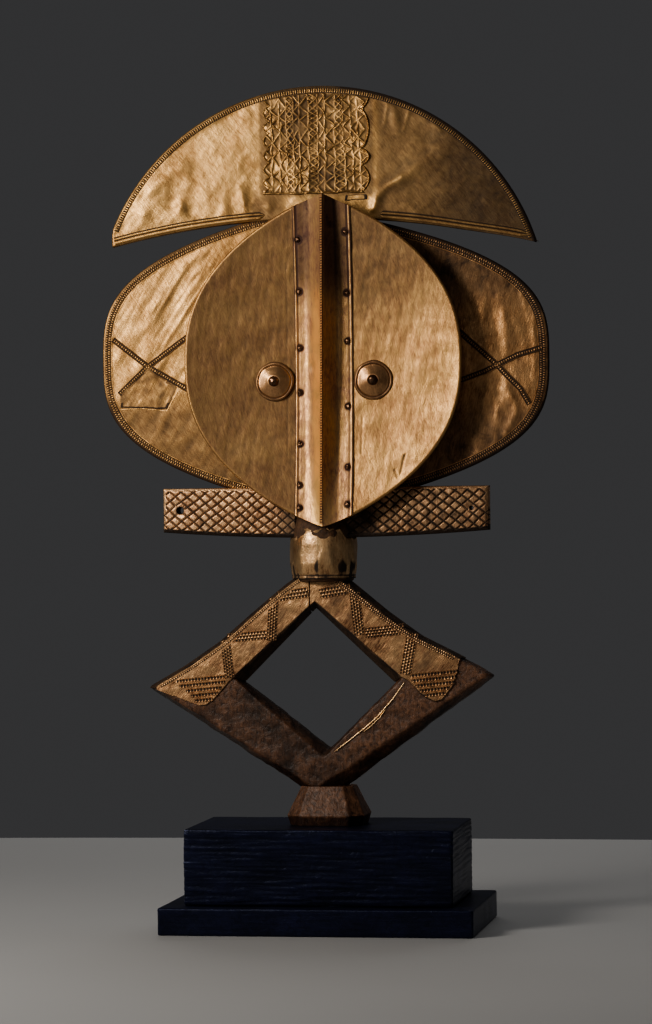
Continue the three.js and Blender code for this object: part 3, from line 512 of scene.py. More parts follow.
def crown_front(x, z):
    """The y of the crescent sheet's front: its board, its relief and its rolled edges."""
    upper = CROWN_R + SKIN - np.hypot(x - CROWN_X, z - CROWN_Z)
    lower = np.hypot(x - UNDER_X, z - UNDER_APEX_Z + UNDER_R) - UNDER_R + SKIN
    sides = np.clip(np.minimum(x - CROWN_LEFT_X + SKIN, CROWN_TIP_X - x), 0, None)
    back = rolled(np.clip(upper, 0, None), 2.2) + rolled(np.clip(lower, 0, None), 1.4)
    return BOARD_FRONT - SKIN - crown_relief(x, z) + np.minimum(back + rolled(sides, 1.4), 3)


def turned_over(front, edges, back_y, lead=0.0):
    """A front grid with its four edges turned over, as far back as back_y: rows are added past
    each edge named in edges ("u0", "u1", "v0", "v1"), at the edge's place but further back.
    lead(x, z) makes the free end ragged."""
    for edge in edges:
        axis = "uv".index(edge[0])
        rims = {"u0": front[:1], "u1": front[-1:], "v0": front[:, :1], "v1": front[:, -1:]}
        rim = rims[edge]
        rows = []
        for share in (0.3, 0.65, 1.0):
            row = rim.copy()
            end = back_y + lead * smooth_noise(rim[..., 0] + rim[..., 2], 0, 6, SEED)
            row[..., 1] += np.maximum(end - rim[..., 1], 0) * share
            rows.append(row)
        if edge[1] == "0":
            front = np.concatenate([*rows[::-1], front], axis=axis)
        else:
            front = np.concatenate([front, *rows], axis=axis)
    return front


def crescent_grid(columns, rows, grow=SKIN):
    """Columns of points between the two edges, close together at the edges."""
    x = np.linspace(CROWN_LEFT_X - grow, CROWN_TIP_X, columns)[:, None]
    share = eased(rows)[None, :]
    low, high = under_height(x, grow), crown_height(x, grow)
    return x + 0 * share, low + (high - low) * share


def tone_of(height, reach=6, gain=1.6, middle=0.55):
    """Lighter where a grid's height stands over its surroundings, darker where it lies below."""
    return np.clip(middle + gain * (height - softened(height, reach)), 0, 1)


def crown_edge(inset):
    """Points along the crown's upper edge, set in by a distance."""
    x = np.arange(-171.0, 170.0, 0.8)
    return np.stack([x, crown_height(x, -inset)], axis=1)


def under_edge(rise, left, right):
    """Points along the crown's lower edge, set up by a rise."""
    x = np.arange(left, right, 2.0)
    return np.stack([x, under_height(x) + rise], axis=1)


RIB_XS = (-40.6, -34, -28.3, -22.5, -17.5, -10.1, -2.7, 3, 11.3, 18.6, 25.2, 30.9)
PANEL_LEFT, PANEL_RIGHT, PANEL_BOTTOM = -48.1, 39.1, 513
LEFT_CUSPS = (492, 506, 517.5, 526, 538, 548.9, 561.8, 571.5, 584, 598, 612)
RIGHT_CUSPS = (490, 513, 534.2, 548, 580, 600)
MIRRORED = (3, 6, 9)
PANEL_DENTS = (
    (-2.5, 527, 3.5, 12, 4, -0.9), (-11.5, 522, 2.2, 14, 3, 1.3), (12, 520, 7, 9, 0, -0.4),
    (-27, 556, 5, 16, 10, -0.5),
)
# Each (x, z, half width, half height, more tone)
PANEL_SHADES = (
    (-21, 570, 11, 24, -0.13), (6, 526, 13, 10, -0.15), (-34, 532, 10, 15, 0.12),
    (28, 550, 8, 26, 0.08), (0, 590, 20, 10, -0.05),
)


def cusped(z, cusps, base, bulge, side, power):
    """A scalloped border's x: between two cusps it bulges as a power of a sine."""
    between = np.interp(z, cusps, np.arange(len(cusps)))
    return base + side * bulge * np.abs(np.sin(np.pi * between)) ** power


def panel_height(x, z):
    """The worked panel's height over the crescent sheet and its distance inside the scalloped
    border. Upright ribs waver at RIB_XS; in each column between two of them a zigzag, and in some
    its mirror image, swings from rib to rib: a triangle wave in z whose pitch differs."""
    waver = 1.2 * smooth_noise(x * 0.12, z, 13, SEED + 3) + 0.5 * smooth_noise(x, z, 6, SEED + 8)
    bent = x + waver + 0.06 * (z - 550) * step_up(x, 14, 20)
    ribs = np.array((PANEL_LEFT + 1, *RIB_XS, PANEL_RIGHT - 2))
    near = np.abs(bent[..., None] - ribs[1:-1]).min(axis=-1)
    height = 1.25 * bell(near, 0.9) * (0.75 + 0.5 * smooth_noise(x * 0.3, z, 9, SEED + 9))
    column = np.clip(np.searchsorted(ribs, bent) - 1, 0, len(ribs) - 2)
    rng = np.random.default_rng(SEED)
    half, phase = rng.uniform(4.6, 7.2, len(ribs)), rng.uniform(0, 2, len(ribs))
    wide = ribs[column + 1] - ribs[column]
    share = (bent - ribs[column]) / wide
    climb = (z + 3.4 * smooth_noise(x * 0.1, z, 17, SEED + 4)) / half[column] + phase[column]
    swing = np.abs(climb % 2 - 1)
    flat = 1 / np.sqrt(1 + (wide / half[column]) ** 2)
    mirrored = np.isin(column, MIRRORED)
    for place, shown in ((swing, True), (1 - swing, mirrored)):
        line = bell(np.abs(share - place) * wide * flat, 0.85)
        height = np.maximum(height, 1.1 * line * shown)
    height = height * (0.75 + 0.7 * smooth_noise(x, z, 11, SEED + 5))
    left = cusped(z, LEFT_CUSPS, PANEL_LEFT + 4.2, 4.8, -1, 0.9)
    right = cusped(z, RIGHT_CUSPS, PANEL_RIGHT - 5.4, 6.2, 1, 0.7)
    foot = PANEL_BOTTOM - 1.5 + 1.2 * smooth_noise(x, 0 * x, 13, SEED + 6)
    inside = np.minimum(np.minimum(x - left, right - x), z - foot)
    border = 1.4 * bell(inside - 1.1, 0.95) * np.where(x > 0, 1, 0.75)
    ground = 0.2 + 0.5 * smooth_noise(x, z, 9, SEED + 7) + 0.5 * smooth_noise(x, z, 26, SEED + 10)
    height = np.maximum(height, border) + ground
    return height + dents(x, z, PANEL_DENTS), inside


def panel_patches():
    """The worked panel: a dense grid over the crescent sheet, sunk under it past its border."""
    x = np.linspace(PANEL_LEFT - 5, PANEL_RIGHT + 3, 245)[:, None]
    low, high = PANEL_BOTTOM - 5, crown_height(x) - 4.3
    z = low + (high - low) * np.linspace(0, 1, 217)[None, :]
    x = x + 0 * z
    height, inside = panel_height(x, z)
    shown = step_up(inside, -0.3, 0.7) * step_up(high - z, -0.3, 1.4)
    y = crown_front(x, z) - (0.12 + kept_above(height, 0.5)) * shown + 0.9 * (1 - shown)
    fine = height - softened(height, 24)
    tone = 0.36 + 0.5 * fine - 0.3 * bell(inside, 0.5)
    for mark_x, mark_z, wide, tall, more in PANEL_SHADES:
        tone = tone + more * bell(np.hypot((x - mark_x) / wide, (z - mark_z) / tall), 1)
    return [sheet_patch(np.stack([x, y, z], axis=-1), tone, thickness=0.5, stride=8)]


LOWER_BORDER = moulding(
    (-1, 0.05, 0.2), (-0.88, 0.8, 0.75), (-0.55, 1.15, 0.9), (-0.25, 0.8, 0.6),
    (-0.14, 0.1, 0.02), (-0.02, 0.1, 0.02), (0.08, 0.6, 0.6), (0.3, 0.85, 0.85),
    (0.5, 0.6, 0.6), (0.6, 0.08, 0.02), (0.74, 0.05, 0.02), (0.86, 0.16, 0.6), (1, 0, 0.5),
)


def crescent_patches():
    """The crescent sheet with its hem of ticks and its raised lower border."""
    x, z = crescent_grid(541, 117)
    beneath = 0.8 * step_up(panel_height(x, z)[1], 1, 3) * step_up(crown_height(x) - z, 5.5, 8)
    front = np.stack([x, crown_front(x, z) + beneath, z], axis=-1)
    tone = tone_of(crown_relief(x, z), gain=0.45)
    hemmed = 1 - step_up(crown_height(x) - z, 2.5, 5.6)
    # Darker along the hem, and more so from x 0 to 60: that growing part is painted shade on the
    # crescent's right side, which the light from the left reaches less.
    tone = tone - (0.12 + 0.38 * step_up(x, 0, 60)) * hemmed
    shift = 4 * smooth_noise(x, z, 8, SEED + 17)
    corner = step_up(x + shift, -63, -56) * step_up(-z + shift, -516, -510) * step_up(-x, 26, 34)
    panel = step_up(x, -54, -49) * step_up(-x, -45, -40) * step_up(z, 506, 512)
    tone = tone - 0.27 * np.maximum(corner, panel)
    # Painted shade: the crescent darkens from x 38 rightwards, as the light falls from the left.
    tone = tone - 0.29 * step_up(x, 38, 50) - 0.11 * step_up(x, 70, 125)
    shaped = turned_over(np.dstack([front, tone]), ("v0", "v1", "u0", "u1"), BOARD_WRAP_Y, 0.8)
    # The hem's ticks dim across the middle and stay dim over the right side: painted shade, as
    # above.
    hem = swept_line(
        crown_edge(2.6), crown_front, 4.7, dimmed(ticked(0.5, 1.9), 0.55, 190, 270),
        step=0.42, across=9, sink=0.1,
    )
    bands = [toned_sheet(shaped), hem]
    # Each (left end, right end, taper, less tone, distance along where the dimming starts). The
    # right border is dimmed along its whole length, painted shade like the rest of the crescent's
    # right side; the left one dims over its last stretch.
    for left, right, taper, less, start in (
        (-172.5, -45, (0, 5), 0.45, 112), (47, 172, (3, 9), 0.6, -2),
    ):
        bands.append(swept_line(
            under_edge(3.5, left, right), crown_front, 7.2,
            dimmed(LOWER_BORDER, less, start, start + 2), 1.0, 25, taper=taper,
        ))
    return bands


# Side lobes


def lobe_edge(side, lobe, share, grow=0.0):
    """A lobe's outline: |x| / reach + (|z - centre| / half height) ^ power = 1, from its lowest
    point at share 0 to its highest at 1."""
    centre, half, power = lobe
    rise = np.sin((share - 0.5) * np.pi)
    x = side * ((LOBE_REACH + grow) * (1 - np.abs(rise) ** power))
    return x, centre + rise * (half + grow)


def plaque_edge(side, share):
    """The face's outline where it meets the boards, drawn in by the undercut."""
    rise = np.sin((share - 0.5) * np.pi)
    width = (1 - np.abs(rise) ** FACE_POWER_Z) ** (1 / FACE_POWER_X)
    x = FACE_X + side * (FACE_HALF_WIDTH - UNDERCUT - 3) * width
    return x, FACE_Z + rise * (FACE_HALF_HEIGHT - UNDERCUT - 3)


LOBE_DENTS = {
    -1: ((-138, 425, 22, 5, 58, 0.6), (-122, 432, 24, 4, 60, -0.6), (-108, 440, 18, 4, 62, 0.5),
         (-150, 372, 8, 9, 0, 0.8), (-128, 344, 10, 6, 0, -0.5), (-120, 300, 16, 6, -35, -0.5),
         (-96, 285, 14, 4, -30, 0.4), (-104, 462, 12, 4, 30, 0.5)),
    1: ((150, 398, 6, 16, 10, 0.6), (140, 405, 5, 18, 8, -0.6), (128, 442, 16, 6, -30, 0.5),
        (141, 345, 5, 20, -15, -0.8), (112, 300, 12, 7, 30, -0.6), (160, 420, 6, 12, 25, -0.5),
        (108, 470, 12, 4, -25, 0.5)),
}
# Each (from, to, less tone): darker as z goes from the first height to the second
LOBE_SHADES = {
    -1: ((354, 334, 0.27), (300, 270, 0.08)),
    1: ((410, 440, 0.22), (350, 315, 0.2), (260, 261, 0.1)),
}
LOBE_FOLDS = {
    -1: ((((-104, 447), (-139, 396)), -0.35, 1.8), (((-98, 440), (-131, 392)), 0.4, 2.0),
         (((-114, 452), (-146, 404)), 0.3, 1.8), (((-92, 455), (-100, 420)), 0.35, 2.2),
         (((-158, 452), (-171, 420)), 0.3, 1.6)),
    1: ((((147, 412), (149.7, 378)), 0.4, 3.4), (((172, 405), (172.5, 360)), 0.5, 3.0),
        (((148, 352), (156.5, 340), (157.2, 332), (148, 315)), 0.9, 3.4),
        (((141, 334), (139, 306)), 0.4, 3.2), (((132, 428), (130, 396)), 0.3, 3.4),
        (((158, 440), (165, 418)), 0.4, 2.2), (((124, 300), (138, 296)), 0.4, 2.5)),
}


def lobe_relief(side, x, z):
    """A lobe sheet's height: beating, long slanting strokes, dents and folds."""
    lean, strength = (56, 1) if side < 0 else (104, 0.6)
    height = beaten(x, z, (52, 21, 9), (0.7, 0.45, 0.2), seed=31 + side)
    beating = strokes(x, z, lean, 7, (10, 4.4, 2.3), (0.32, 0.17, 0.08), 41 + side)
    height = height + beating * strength + dents(x, z, LOBE_DENTS[side])
    return kept_above(creased(height, x, z, LOBE_FOLDS[side]), 0.85)


CROSSES = {
    -1: (((-174.5, 396.2), (-145.4, 373.5), (-115.3, 356.2), (-103, 349)),
         ((-169.5, 351), (-145.4, 373.5), (-117.6, 393.7), (-106, 402))),
    1: (((108, 401), (119, 391), (142.4, 370.2), (147.6, 364.3), (160.7, 350.9), (167.5, 339)),
        ((105, 356.5), (115.9, 360.1), (131.9, 365.8), (142.4, 370.9), (158.4, 378.5),
         (178, 384))),
}
PATCH_CREASE = ((-169, 338.6), (-150, 339.4), (-130, 337.0), (-120.5, 353.5))
RING_AT = (-128.6, 360)


def lobe_inside(lobe, x, z, grow=0.0):
    """About how far inside a lobe's outline a point lies: the way left in x, over the length of
    the outline's slope."""
    centre, half, power = lobe
    rise = np.clip(np.abs(z - centre) / (half + grow), 0, 1)
    slope = power * (LOBE_REACH / half) * rise ** (power - 1)
    return ((LOBE_REACH + grow) * (1 - rise**power) - np.abs(x)) / np.sqrt(1 + slope**2)


def lobe_front(side, lobe):
    """How a lobe sheet's front lies, as a function of (x, z)."""
    def front(x, z):
        """Its y: flat with relief, bent back along the outline and sunk where it passes under the
        crescent sheet."""
        inside = np.clip(lobe_inside(lobe, x, z, SKIN), 0, None)
        relief = lobe_relief(side, x, z) * step_up(inside, 1, 9)
        under = 1.6 * step_up(z, under_height(x) - 2.6, under_height(x) - 1.0)
        return BOARD_FRONT - SKIN - relief + rolled(inside, 2.2) + under

    return front


def lobe_patches(side, lobe):
    """A lobe sheet: a grid between the lobe's outline and the face's, the outline turned over,
    with a hem of ticks in two rows, a thin line inside it and two crossing corded bands. The left
    one also has a crease under its patch and a small ring."""
    front_y = lobe_front(side, lobe)
    share = eased(321)[:, None]
    outer_x, outer_z = lobe_edge(side, lobe, share, SKIN)
    inner_x, inner_z = plaque_edge(side, share)
    across = 1 - (1 - np.linspace(0, 1, 113)[None, :]) ** 1.25
    x, z = outer_x + (inner_x - outer_x) * across, outer_z + (inner_z - outer_z) * across
    y = front_y(x, z)
    hemmed = 1 - step_up(lobe_inside(lobe, x, z), 5, 7.4)
    tone = tone_of(-y, gain=0.5) - 0.42 * hemmed
    for low, high, less in LOBE_SHADES[side]:
        tone = tone - less * step_up((z - low) / (high - low), 0, 1)
    shaped = turned_over(np.dstack([x, y, z, tone]), ("v0",), BOARD_WRAP_Y, 0.8)
    patches = [toned_sheet(shaped)]
    even = np.linspace(0.1, 0.9, 500)[::side]
    for inset, width, section, step, count in (
        (3.5, 5.0, dimmed(ticked(0.45, 1.9, 2), 0.25 if side < 0 else 0.45), 0.42, 11),
        (6.8, 1.1, bead_line(0.3, 0.3, 0.6), 1.2, 5),
    ):
        edge = np.stack(lobe_edge(side, lobe, even, -inset), axis=1)
        patches.append(swept_line(edge, front_y, width, section, step, count, sink=0.1))

    def raised(px, pz):
        """The seat of the crosses, 0.5 in front of the sheet."""
        return front_y(px, pz) - 0.5

    for line in CROSSES[side]:
        patches.append(swept_line(line, raised, 5.0, corded(0.5, 2.0), 0.45, 17, sink=0.7))
    if side < 0:
        patches.append(
            swept_line(PATCH_CREASE, front_y, 1.2, bead_line(0.4, 0.3, 0.95), 1.0, 5)
        )
        turn = np.linspace(0, 2 * np.pi, 40)
        ring = np.add(RING_AT, 2.4 * np.stack([np.cos(turn), np.sin(turn)], axis=1))
        patches.append(swept_line(ring, front_y, 0.9, bead_line(0.4, 0.2, 0.8), 0.6, 5))
    return patches


CROWN_REPAIR = ((19.1, 506), (37.1, 506.4), (36.6, 510.5), (19.4, 510.2))
LOBE_REPAIR = ((-168.5, 340.4), (-129.9, 338.8), (-121.5, 356.5), (-145.4, 372.5), (-168.5, 351))


def flat_patch(outline, seat, thickness, count=24, middle_tone=0.5, shade_below=np.inf):
    """A small flat repair: the outline drawn in towards its middle in rings, thickness over the
    seat, with its edge turned down to it and painted dark as shade, at least below one height."""
    points, _ = resampled([*outline, outline[0]], 0.9)
    points = points[:-1]
    wavy = 0.5 * smooth_noise(points[:, :1], points[:, 1:], 5, SEED + 8)
    middle = points.mean(axis=0)
    share = np.r_[1.0, 1.0, np.linspace(0.97, 0.02, count)][:, None, None]
    across = middle + (points + wavy - middle) * share
    x, z = across[..., 0], across[..., 1]
    lift = np.r_[-0.2, thickness * 0.7, np.full(count, thickness)][:, None]
    curl = 0.35 * smooth_noise(x, z, 14, SEED + 5) * (share[..., 0] ** 2)
    y = seat(x, z) - lift - np.maximum(curl, -0.3)
    tone = middle_tone + 0.15 * smooth_noise(x, z, 6, SEED + 9)
    # Painted shade on the turned-down edge: nearly black below the given height, a little darker
    # above it.
    tone[:4] = np.where(z[:4] < shade_below, 0.02, middle_tone - 0.1)
    return body_patch(np.stack([x, y, z], axis=-1), tone)


# Face


def face_front(x, z):
    """The carved face's y: a shallow dish, and the nose ridge that sweeps up out of it, wider on
    its left side than on its right."""
    across, up = (x - FACE_X) / FACE_HALF_WIDTH, (z - FACE_Z) / FACE_HALF_HEIGHT
    dish = FACE_RIM + DISH * (1 - across**2 - up**2)
    rise = (z - FACE_Z + FACE_HALF_HEIGHT) / (2 * FACE_HALF_HEIGHT)
    crest_x = FACE_X + NOSE_LEAN * rise
    crest = NOSE_BOTTOM + (NOSE_TOP - NOSE_BOTTOM) * rise
    foot = FACE_X + np.where(x < crest_x, -NOSE_LEFT, NOSE_RIGHT)
    aside = np.clip((x - crest_x) / (foot - crest_x), 0, 1)
    return dish + (crest - dish) * (1 - aside) ** NOSE_COVE


def face_half_height(x, margin):
    """Half the face's height at x: |x / a| ^ p + |z / b| ^ q = 1, solved for z."""
    share = np.minimum(np.abs(x - FACE_X) / (FACE_HALF_WIDTH + margin), 1)
    height = FACE_HALF_HEIGHT + margin
    return height * (1 - share**FACE_POWER_X) ** (1 / FACE_POWER_Z)


def rim_distance(x, z, margin):
    """About how far inside the face's outline a point lies: (1 - f) over the slope of f."""
    across = np.maximum(np.abs(x - FACE_X) / (FACE_HALF_WIDTH + margin), 1e-3)
    up = np.maximum(np.abs(z - FACE_Z) / (FACE_HALF_HEIGHT + margin), 1e-3)
    value = across**FACE_POWER_X + up**FACE_POWER_Z
    slope = np.hypot(
        FACE_POWER_X * across ** (FACE_POWER_X - 1) / FACE_HALF_WIDTH,
        FACE_POWER_Z * up ** (FACE_POWER_Z - 1) / FACE_HALF_HEIGHT,
    )
    return np.clip(1 - value, 0, None) / slope


FACE_DENTS = (
    (-62, 420, 14, 9, 20, -0.6), (-85, 345, 12, 18, 0, -0.5), (-48, 300, 10, 14, 0, 0.5),
    (60, 430, 18, 10, -20, -0.5), (84, 375, 9, 20, 5, 0.5), (58, 318, 12, 16, 10, -0.6),
    (66, 285, 8, 9, 0, -0.7), (40, 462, 12, 7, 0, 0.4), (-30, 480, 9, 8, 0, -0.5),
)
FACE_LINES = (
    (((68.8, 298.6), (66.5, 288), (64.6, 278.6), (60.6, 286.6)), -0.8, 0.7),
    (((-27.5, 300), (-27.8, 380), (-27.2, 455)), -0.12, 0.9),
    (((33, 300), (34, 330)), -0.3, 0.7),
)


def face_relief(x, z):
    """The face sheets' height: broad, soft beating, fine upright strokes and a few dents."""
    height = beaten(x, z, (46, 17, 8), (0.6, 0.3, 0.12), seed=61)
    height = height + strokes(x, z, 82, 5, (6, 3), (0.13, 0.07), 65)
    height = creased(height + dents(x, z, FACE_DENTS), x, z, FACE_LINES)
    return kept_above(height, 0.9) * step_up(rim_distance(x, z, SKIN), 1, 8)


def sheet_face_y(x, z):
    """The front of the brass on the face, bent back along the rim."""
    rim = rim_distance(x, z, SKIN)
    return face_front(x, z) - SKIN - face_relief(x, z) + rolled(rim, 2.4)


def wrapped_rim(front, end_y, rows=6):
    """A face grid with its bottom and top edges carried round the rim: back along the undercut,
    drawn in towards the middle as it goes."""
    share_x = (FACE_HALF_WIDTH - UNDERCUT + SKIN) / (FACE_HALF_WIDTH + SKIN)
    share_z = (FACE_HALF_HEIGHT - UNDERCUT + SKIN) / (FACE_HALF_HEIGHT + SKIN)
    parts = [[], front, []]
    for at, rim in ((0, front[:, :1]), (2, front[:, -1:])):
        ragged = end_y + 0.7 * smooth_noise(rim[..., 0], rim[..., 2], 7, SEED + at)
        for share in (np.arange(rows) + 1) / rows:
            row = rim.copy()
            row[..., 1] += share * (ragged - rim[..., 1])
            back = (row[..., 1] - rim[..., 1]) / (BOARD_BACK + SKIN - rim[..., 1])
            row[..., 0] += (rim[..., 0] - FACE_X) * (share_x - 1) * back
            row[..., 2] += (rim[..., 2] - FACE_Z) * (share_z - 1) * back
            parts[at].append(row)
    return np.concatenate([*parts[0][::-1], front, *parts[2]], axis=1)


def face_patch(side):
    """One half of the brass on the face: columns from under the strip to the outer corner, rows
    between the bottom and top outlines, then round the rim."""
    count = 161
    inner = STRIP_HALF - STRIP_LAP
    reach = inner + (FACE_HALF_WIDTH + SKIN - inner) * np.sin(np.linspace(0, np.pi / 2, count))
    x = FACE_X + side * reach[:, None]
    row = np.sin(np.linspace(-0.5, 0.5, 273) * np.pi)[None, :]
    row = 0.5 * row + 0.5 * np.linspace(-1, 1, 273)[None, :]
    z = FACE_Z + row * face_half_height(x, SKIN)
    x = x + 0 * row
    height = face_relief(x, z)
    rim = rim_distance(x, z, SKIN)
    # The band just inside the rim, and the brass wrapped round it, is raised in tone: a painted
    # highlight on the rolled rim.
    tone = tone_of(height, 8, 0.9) + 0.25 * bell(rim - 0.5, 1.2)
    # Painted shade of the dished face lit from the upper left: the whole left half is darker, and
    # the right half is darker towards its upper part.
    tone = tone - (0.27 if side < 0 else 0.3 * step_up(z - 0.5 * x, 300, 440))
    shaped = np.dstack([x, sheet_face_y(x, z), z, tone])
    return toned_sheet(wrapped_rim(shaped, FACE_RIM + DISH + SHEET))


STRIP_DENTS = (
    (-3, 377, 4, 5, 20, 1.1), (-5, 369, 3, 3.5, 0, -1.0), (-1, 385, 3, 4, 0, -0.8),
    (-10, 440, 4, 14, 0, -0.5), (12, 420, 4, 16, 0, 0.5), (-9, 300, 5, 16, 0, -0.5),
    (-12, 335, 4, 10, 0, 0.5), (14, 310, 4, 12, 0, -0.5), (-6, 480, 8, 6, 0, -0.5),
)


def strip_relief(x, z):
    """The copper strip's height and tone over the brass: beaten flanks, a crumpled place beside
    the crest, a thin lip along each edge and a dimple round each nail."""
    height = beaten(x, z, (30, 12, 5.5), (0.45, 0.3, 0.12), seed=81)
    height = height + strokes(x, z, 88, 5, (4, 2.2), (0.1, 0.04), 85)
    height = height + dents(x, z, STRIP_DENTS)
    edge = STRIP_HALF - np.abs(x - FACE_X)
    lip = 0.35 * bell(edge - 1.3, 0.6) - 0.2 * bell(edge - 2.8, 0.8)
    near = np.full(np.shape(x), 99.0)
    for side, heights in ((-1, LEFT_NAILS), (1, RIGHT_NAILS)):
        for nail_z in heights:
            nail_x = FACE_X + side * (STRIP_HALF - NAIL_INSET)
            near = np.minimum(near, np.hypot(x - nail_x, z - nail_z))
    height = 0.8 * kept_above(height, 0.8) - 0.45 * bell(near, 3.0) + lip
    # The tone holds painted light: shade along each outer edge and a highlight on the lip. It is
    # also darker in a line inside the lip and in a ring round each nail.
    shade = 0.5 * bell(near - 2.2, 1.1) + 0.55 * (1 - step_up(edge, 0.4, 0.9))
    return height, shade + 0.25 * bell(edge - 2.8, 0.7) - 0.3 * bell(edge - 1.3, 0.5)


def strip_front(x, z):
    """The y of the copper strip's front."""
    return face_front(x, z) - SKIN - GAP - SHEET - strip_relief(x, z)[0]


def crest_at(z):
    """The x of the nose ridge's crest: a straight lean."""
    return FACE_X + NOSE_LEAN * (z - FACE_Z + FACE_HALF_HEIGHT) / (2 * FACE_HALF_HEIGHT)


def strip_patches():
    """The copper strip over the nose, from rim to rim, and the fine ticks along its crest."""
    reach = np.linspace(-STRIP_HALF, STRIP_HALF, 121)[:, None]
    row = np.sin(np.linspace(-0.5, 0.5, 385) * np.pi)[None, :]
    row = 0.15 * row + 0.85 * np.linspace(-1, 1, 385)[None, :]
    z = FACE_Z + row * (face_half_height(FACE_X + reach, 0) + 0.3)
    lean = np.maximum(1 - np.abs(reach) / np.where(reach < 0, NOSE_LEFT, NOSE_RIGHT), 0)
    x = FACE_X + reach + (crest_at(z) - FACE_X) * lean
    height, shade = strip_relief(x, z)
    # Painted shade on the ridge's right flank, which faces away from the light.
    painted_flank_shade = step_up(x - crest_at(z), 0.3, 2) * (1 - step_up(x - FACE_X, 9, 15))
    tone = tone_of(height - softened(height, 30), 4, 0.5) - shade - 0.12 * painted_flank_shade
    # A painted highlight: a bright band down the ridge's left flank, below z 410 to 440.
    brighter = bell(np.abs(x - FACE_X + 4.5 + 2 * smooth_noise(0 * x, z, 24, SEED + 14)), 4)
    tone = tone + 0.5 * brighter * step_up(-z, -440, -410) - 0.3 * step_up(z, 405, 450)
    tone = tone - 0.1 * (1 - step_up(x - FACE_X, -11, -9)) - 0.08 * step_up(x - FACE_X, 9, 11)
    shaped = turned_over(
        np.dstack([x, strip_front(x, z), z, tone]), ("v0", "v1"), FACE_RIM + 4, 0.5
    )
    z = np.arange(FACE_Z - FACE_HALF_HEIGHT + 2, FACE_Z + FACE_HALF_HEIGHT - 2, 1.0)
    ticks = swept_line(
        np.stack([crest_at(z) - 0.9, z], axis=1), strip_front, 3.0, ticked(0.75, 2.1), 0.35, 9,
        sink=0.1,
    )
    return [toned_sheet(shaped), ticks]


def turned_boss(centre, seat_y, profile, tones, count, wear, seed):
    """A boss turned about an axis towards the viewer, its profile given as (radius, height) pairs
    from the edge to the middle, each height counted forwards from the seat; noise wears it."""
    radius, height = np.asarray(profile, float).T
    turn = np.linspace(0, 2 * np.pi, count, endpoint=False)
    x = centre[0] + radius[:, None] * np.cos(turn)
    z = centre[1] + radius[:, None] * np.sin(turn)
    uneven = wear * smooth_noise(x, z, radius.max() * 0.6, seed)
    grow = 1 + uneven / radius.max()
    x, z = centre[0] + (x - centre[0]) * grow, centre[1] + (z - centre[1]) * grow
    y = seat_y - height[:, None] - uneven * 0.6
    return body_patch(np.stack([x, y, z], axis=-1), np.reshape(tones, (-1, 1)))


def dome_profile(radius, height, rings):
    """(radius, height) pairs of a dome: height times the square root of 1 - (r / radius)^2."""
    turn = np.linspace(0, np.pi / 2, rings)
    pairs = np.stack([radius * np.cos(turn), height * np.sin(turn)], axis=1)
    return np.concatenate([[(radius * 0.9, -0.4)], pairs[:-1], [(radius * 0.02, height)]])


# Each (radius, height, tone), from the boss's edge inwards; the low tones on the steep outer rim
# are painted shade
EYE_RIM = (
    (15.4, -1.4, 0.05), (16.0, -0.4, 0.1), (16.1, 0.9, 0.16), (15.7, 2.0, 0.24),
    (15.1, 2.6, 0.34), (14.4, 2.8, 0.36), (13.9, 2.6, 0.24), (13.5, 2.3, 0.12),
    (13.1, 2.8, 0.66), (12.6, 3.3, 0.66),
)
EYE_MIDDLE = ((4.2, 6.4, 0.1), (3.6, 6.2, 0.1), (2.0, 6.0, 0.1), (0.3, 6.0, 0.1))
EYE_NAIL_SEAT = 6.2


def eye_patches(side):
    """One eye's boss, a shallow cone inside a steep rim with a groove, and the nail through it."""
    centre = (FACE_X + side * (STRIP_HALF + GAP + EYE_R), EYE_Z)
    seat_y = face_front(*centre) - SKIN - GAP + 0.4
    cone = [(radius, 3.4 + 0.4 * (12.2 - radius), 0.66) for radius in np.linspace(12.2, 4.6, 12)]
    rows = np.array([*EYE_RIM, *cone, *EYE_MIDDLE])
    boss = turned_boss(centre, seat_y, rows[:, :2], rows[:, 2], 72, 0.5, SEED + 20 + side)
    nail = dome_profile(4.2, 3.2, 9)
    return boss, turned_boss(centre, seat_y - EYE_NAIL_SEAT, nail, 0.5, 24, 0.3, SEED + side)


def strip_nail(side, z, seed):
    """One of the nails along the strip: a small uneven dome."""
    profile = dome_profile(NAIL_R, NAIL_HEIGHT, 6)
    centre = (FACE_X + side * (STRIP_HALF - NAIL_INSET), z)
    return turned_boss(centre, strip_front(*centre) + 0.1, profile, 0.5, 20, 0.55, seed)


# Bar


def bar_bottom(x):
    """The bar's lower edge: a parabola that hangs lowest at the middle."""
    return BAR_TOP - BAR_HEIGHT - BAR_BOW * (1 - ((x - BAR_X) / BAR_HALF) ** 2)


LATTICE_WIDTH, LATTICE_HEIGHT, BAR_BORDER = 9.77, 7.94, 0.9


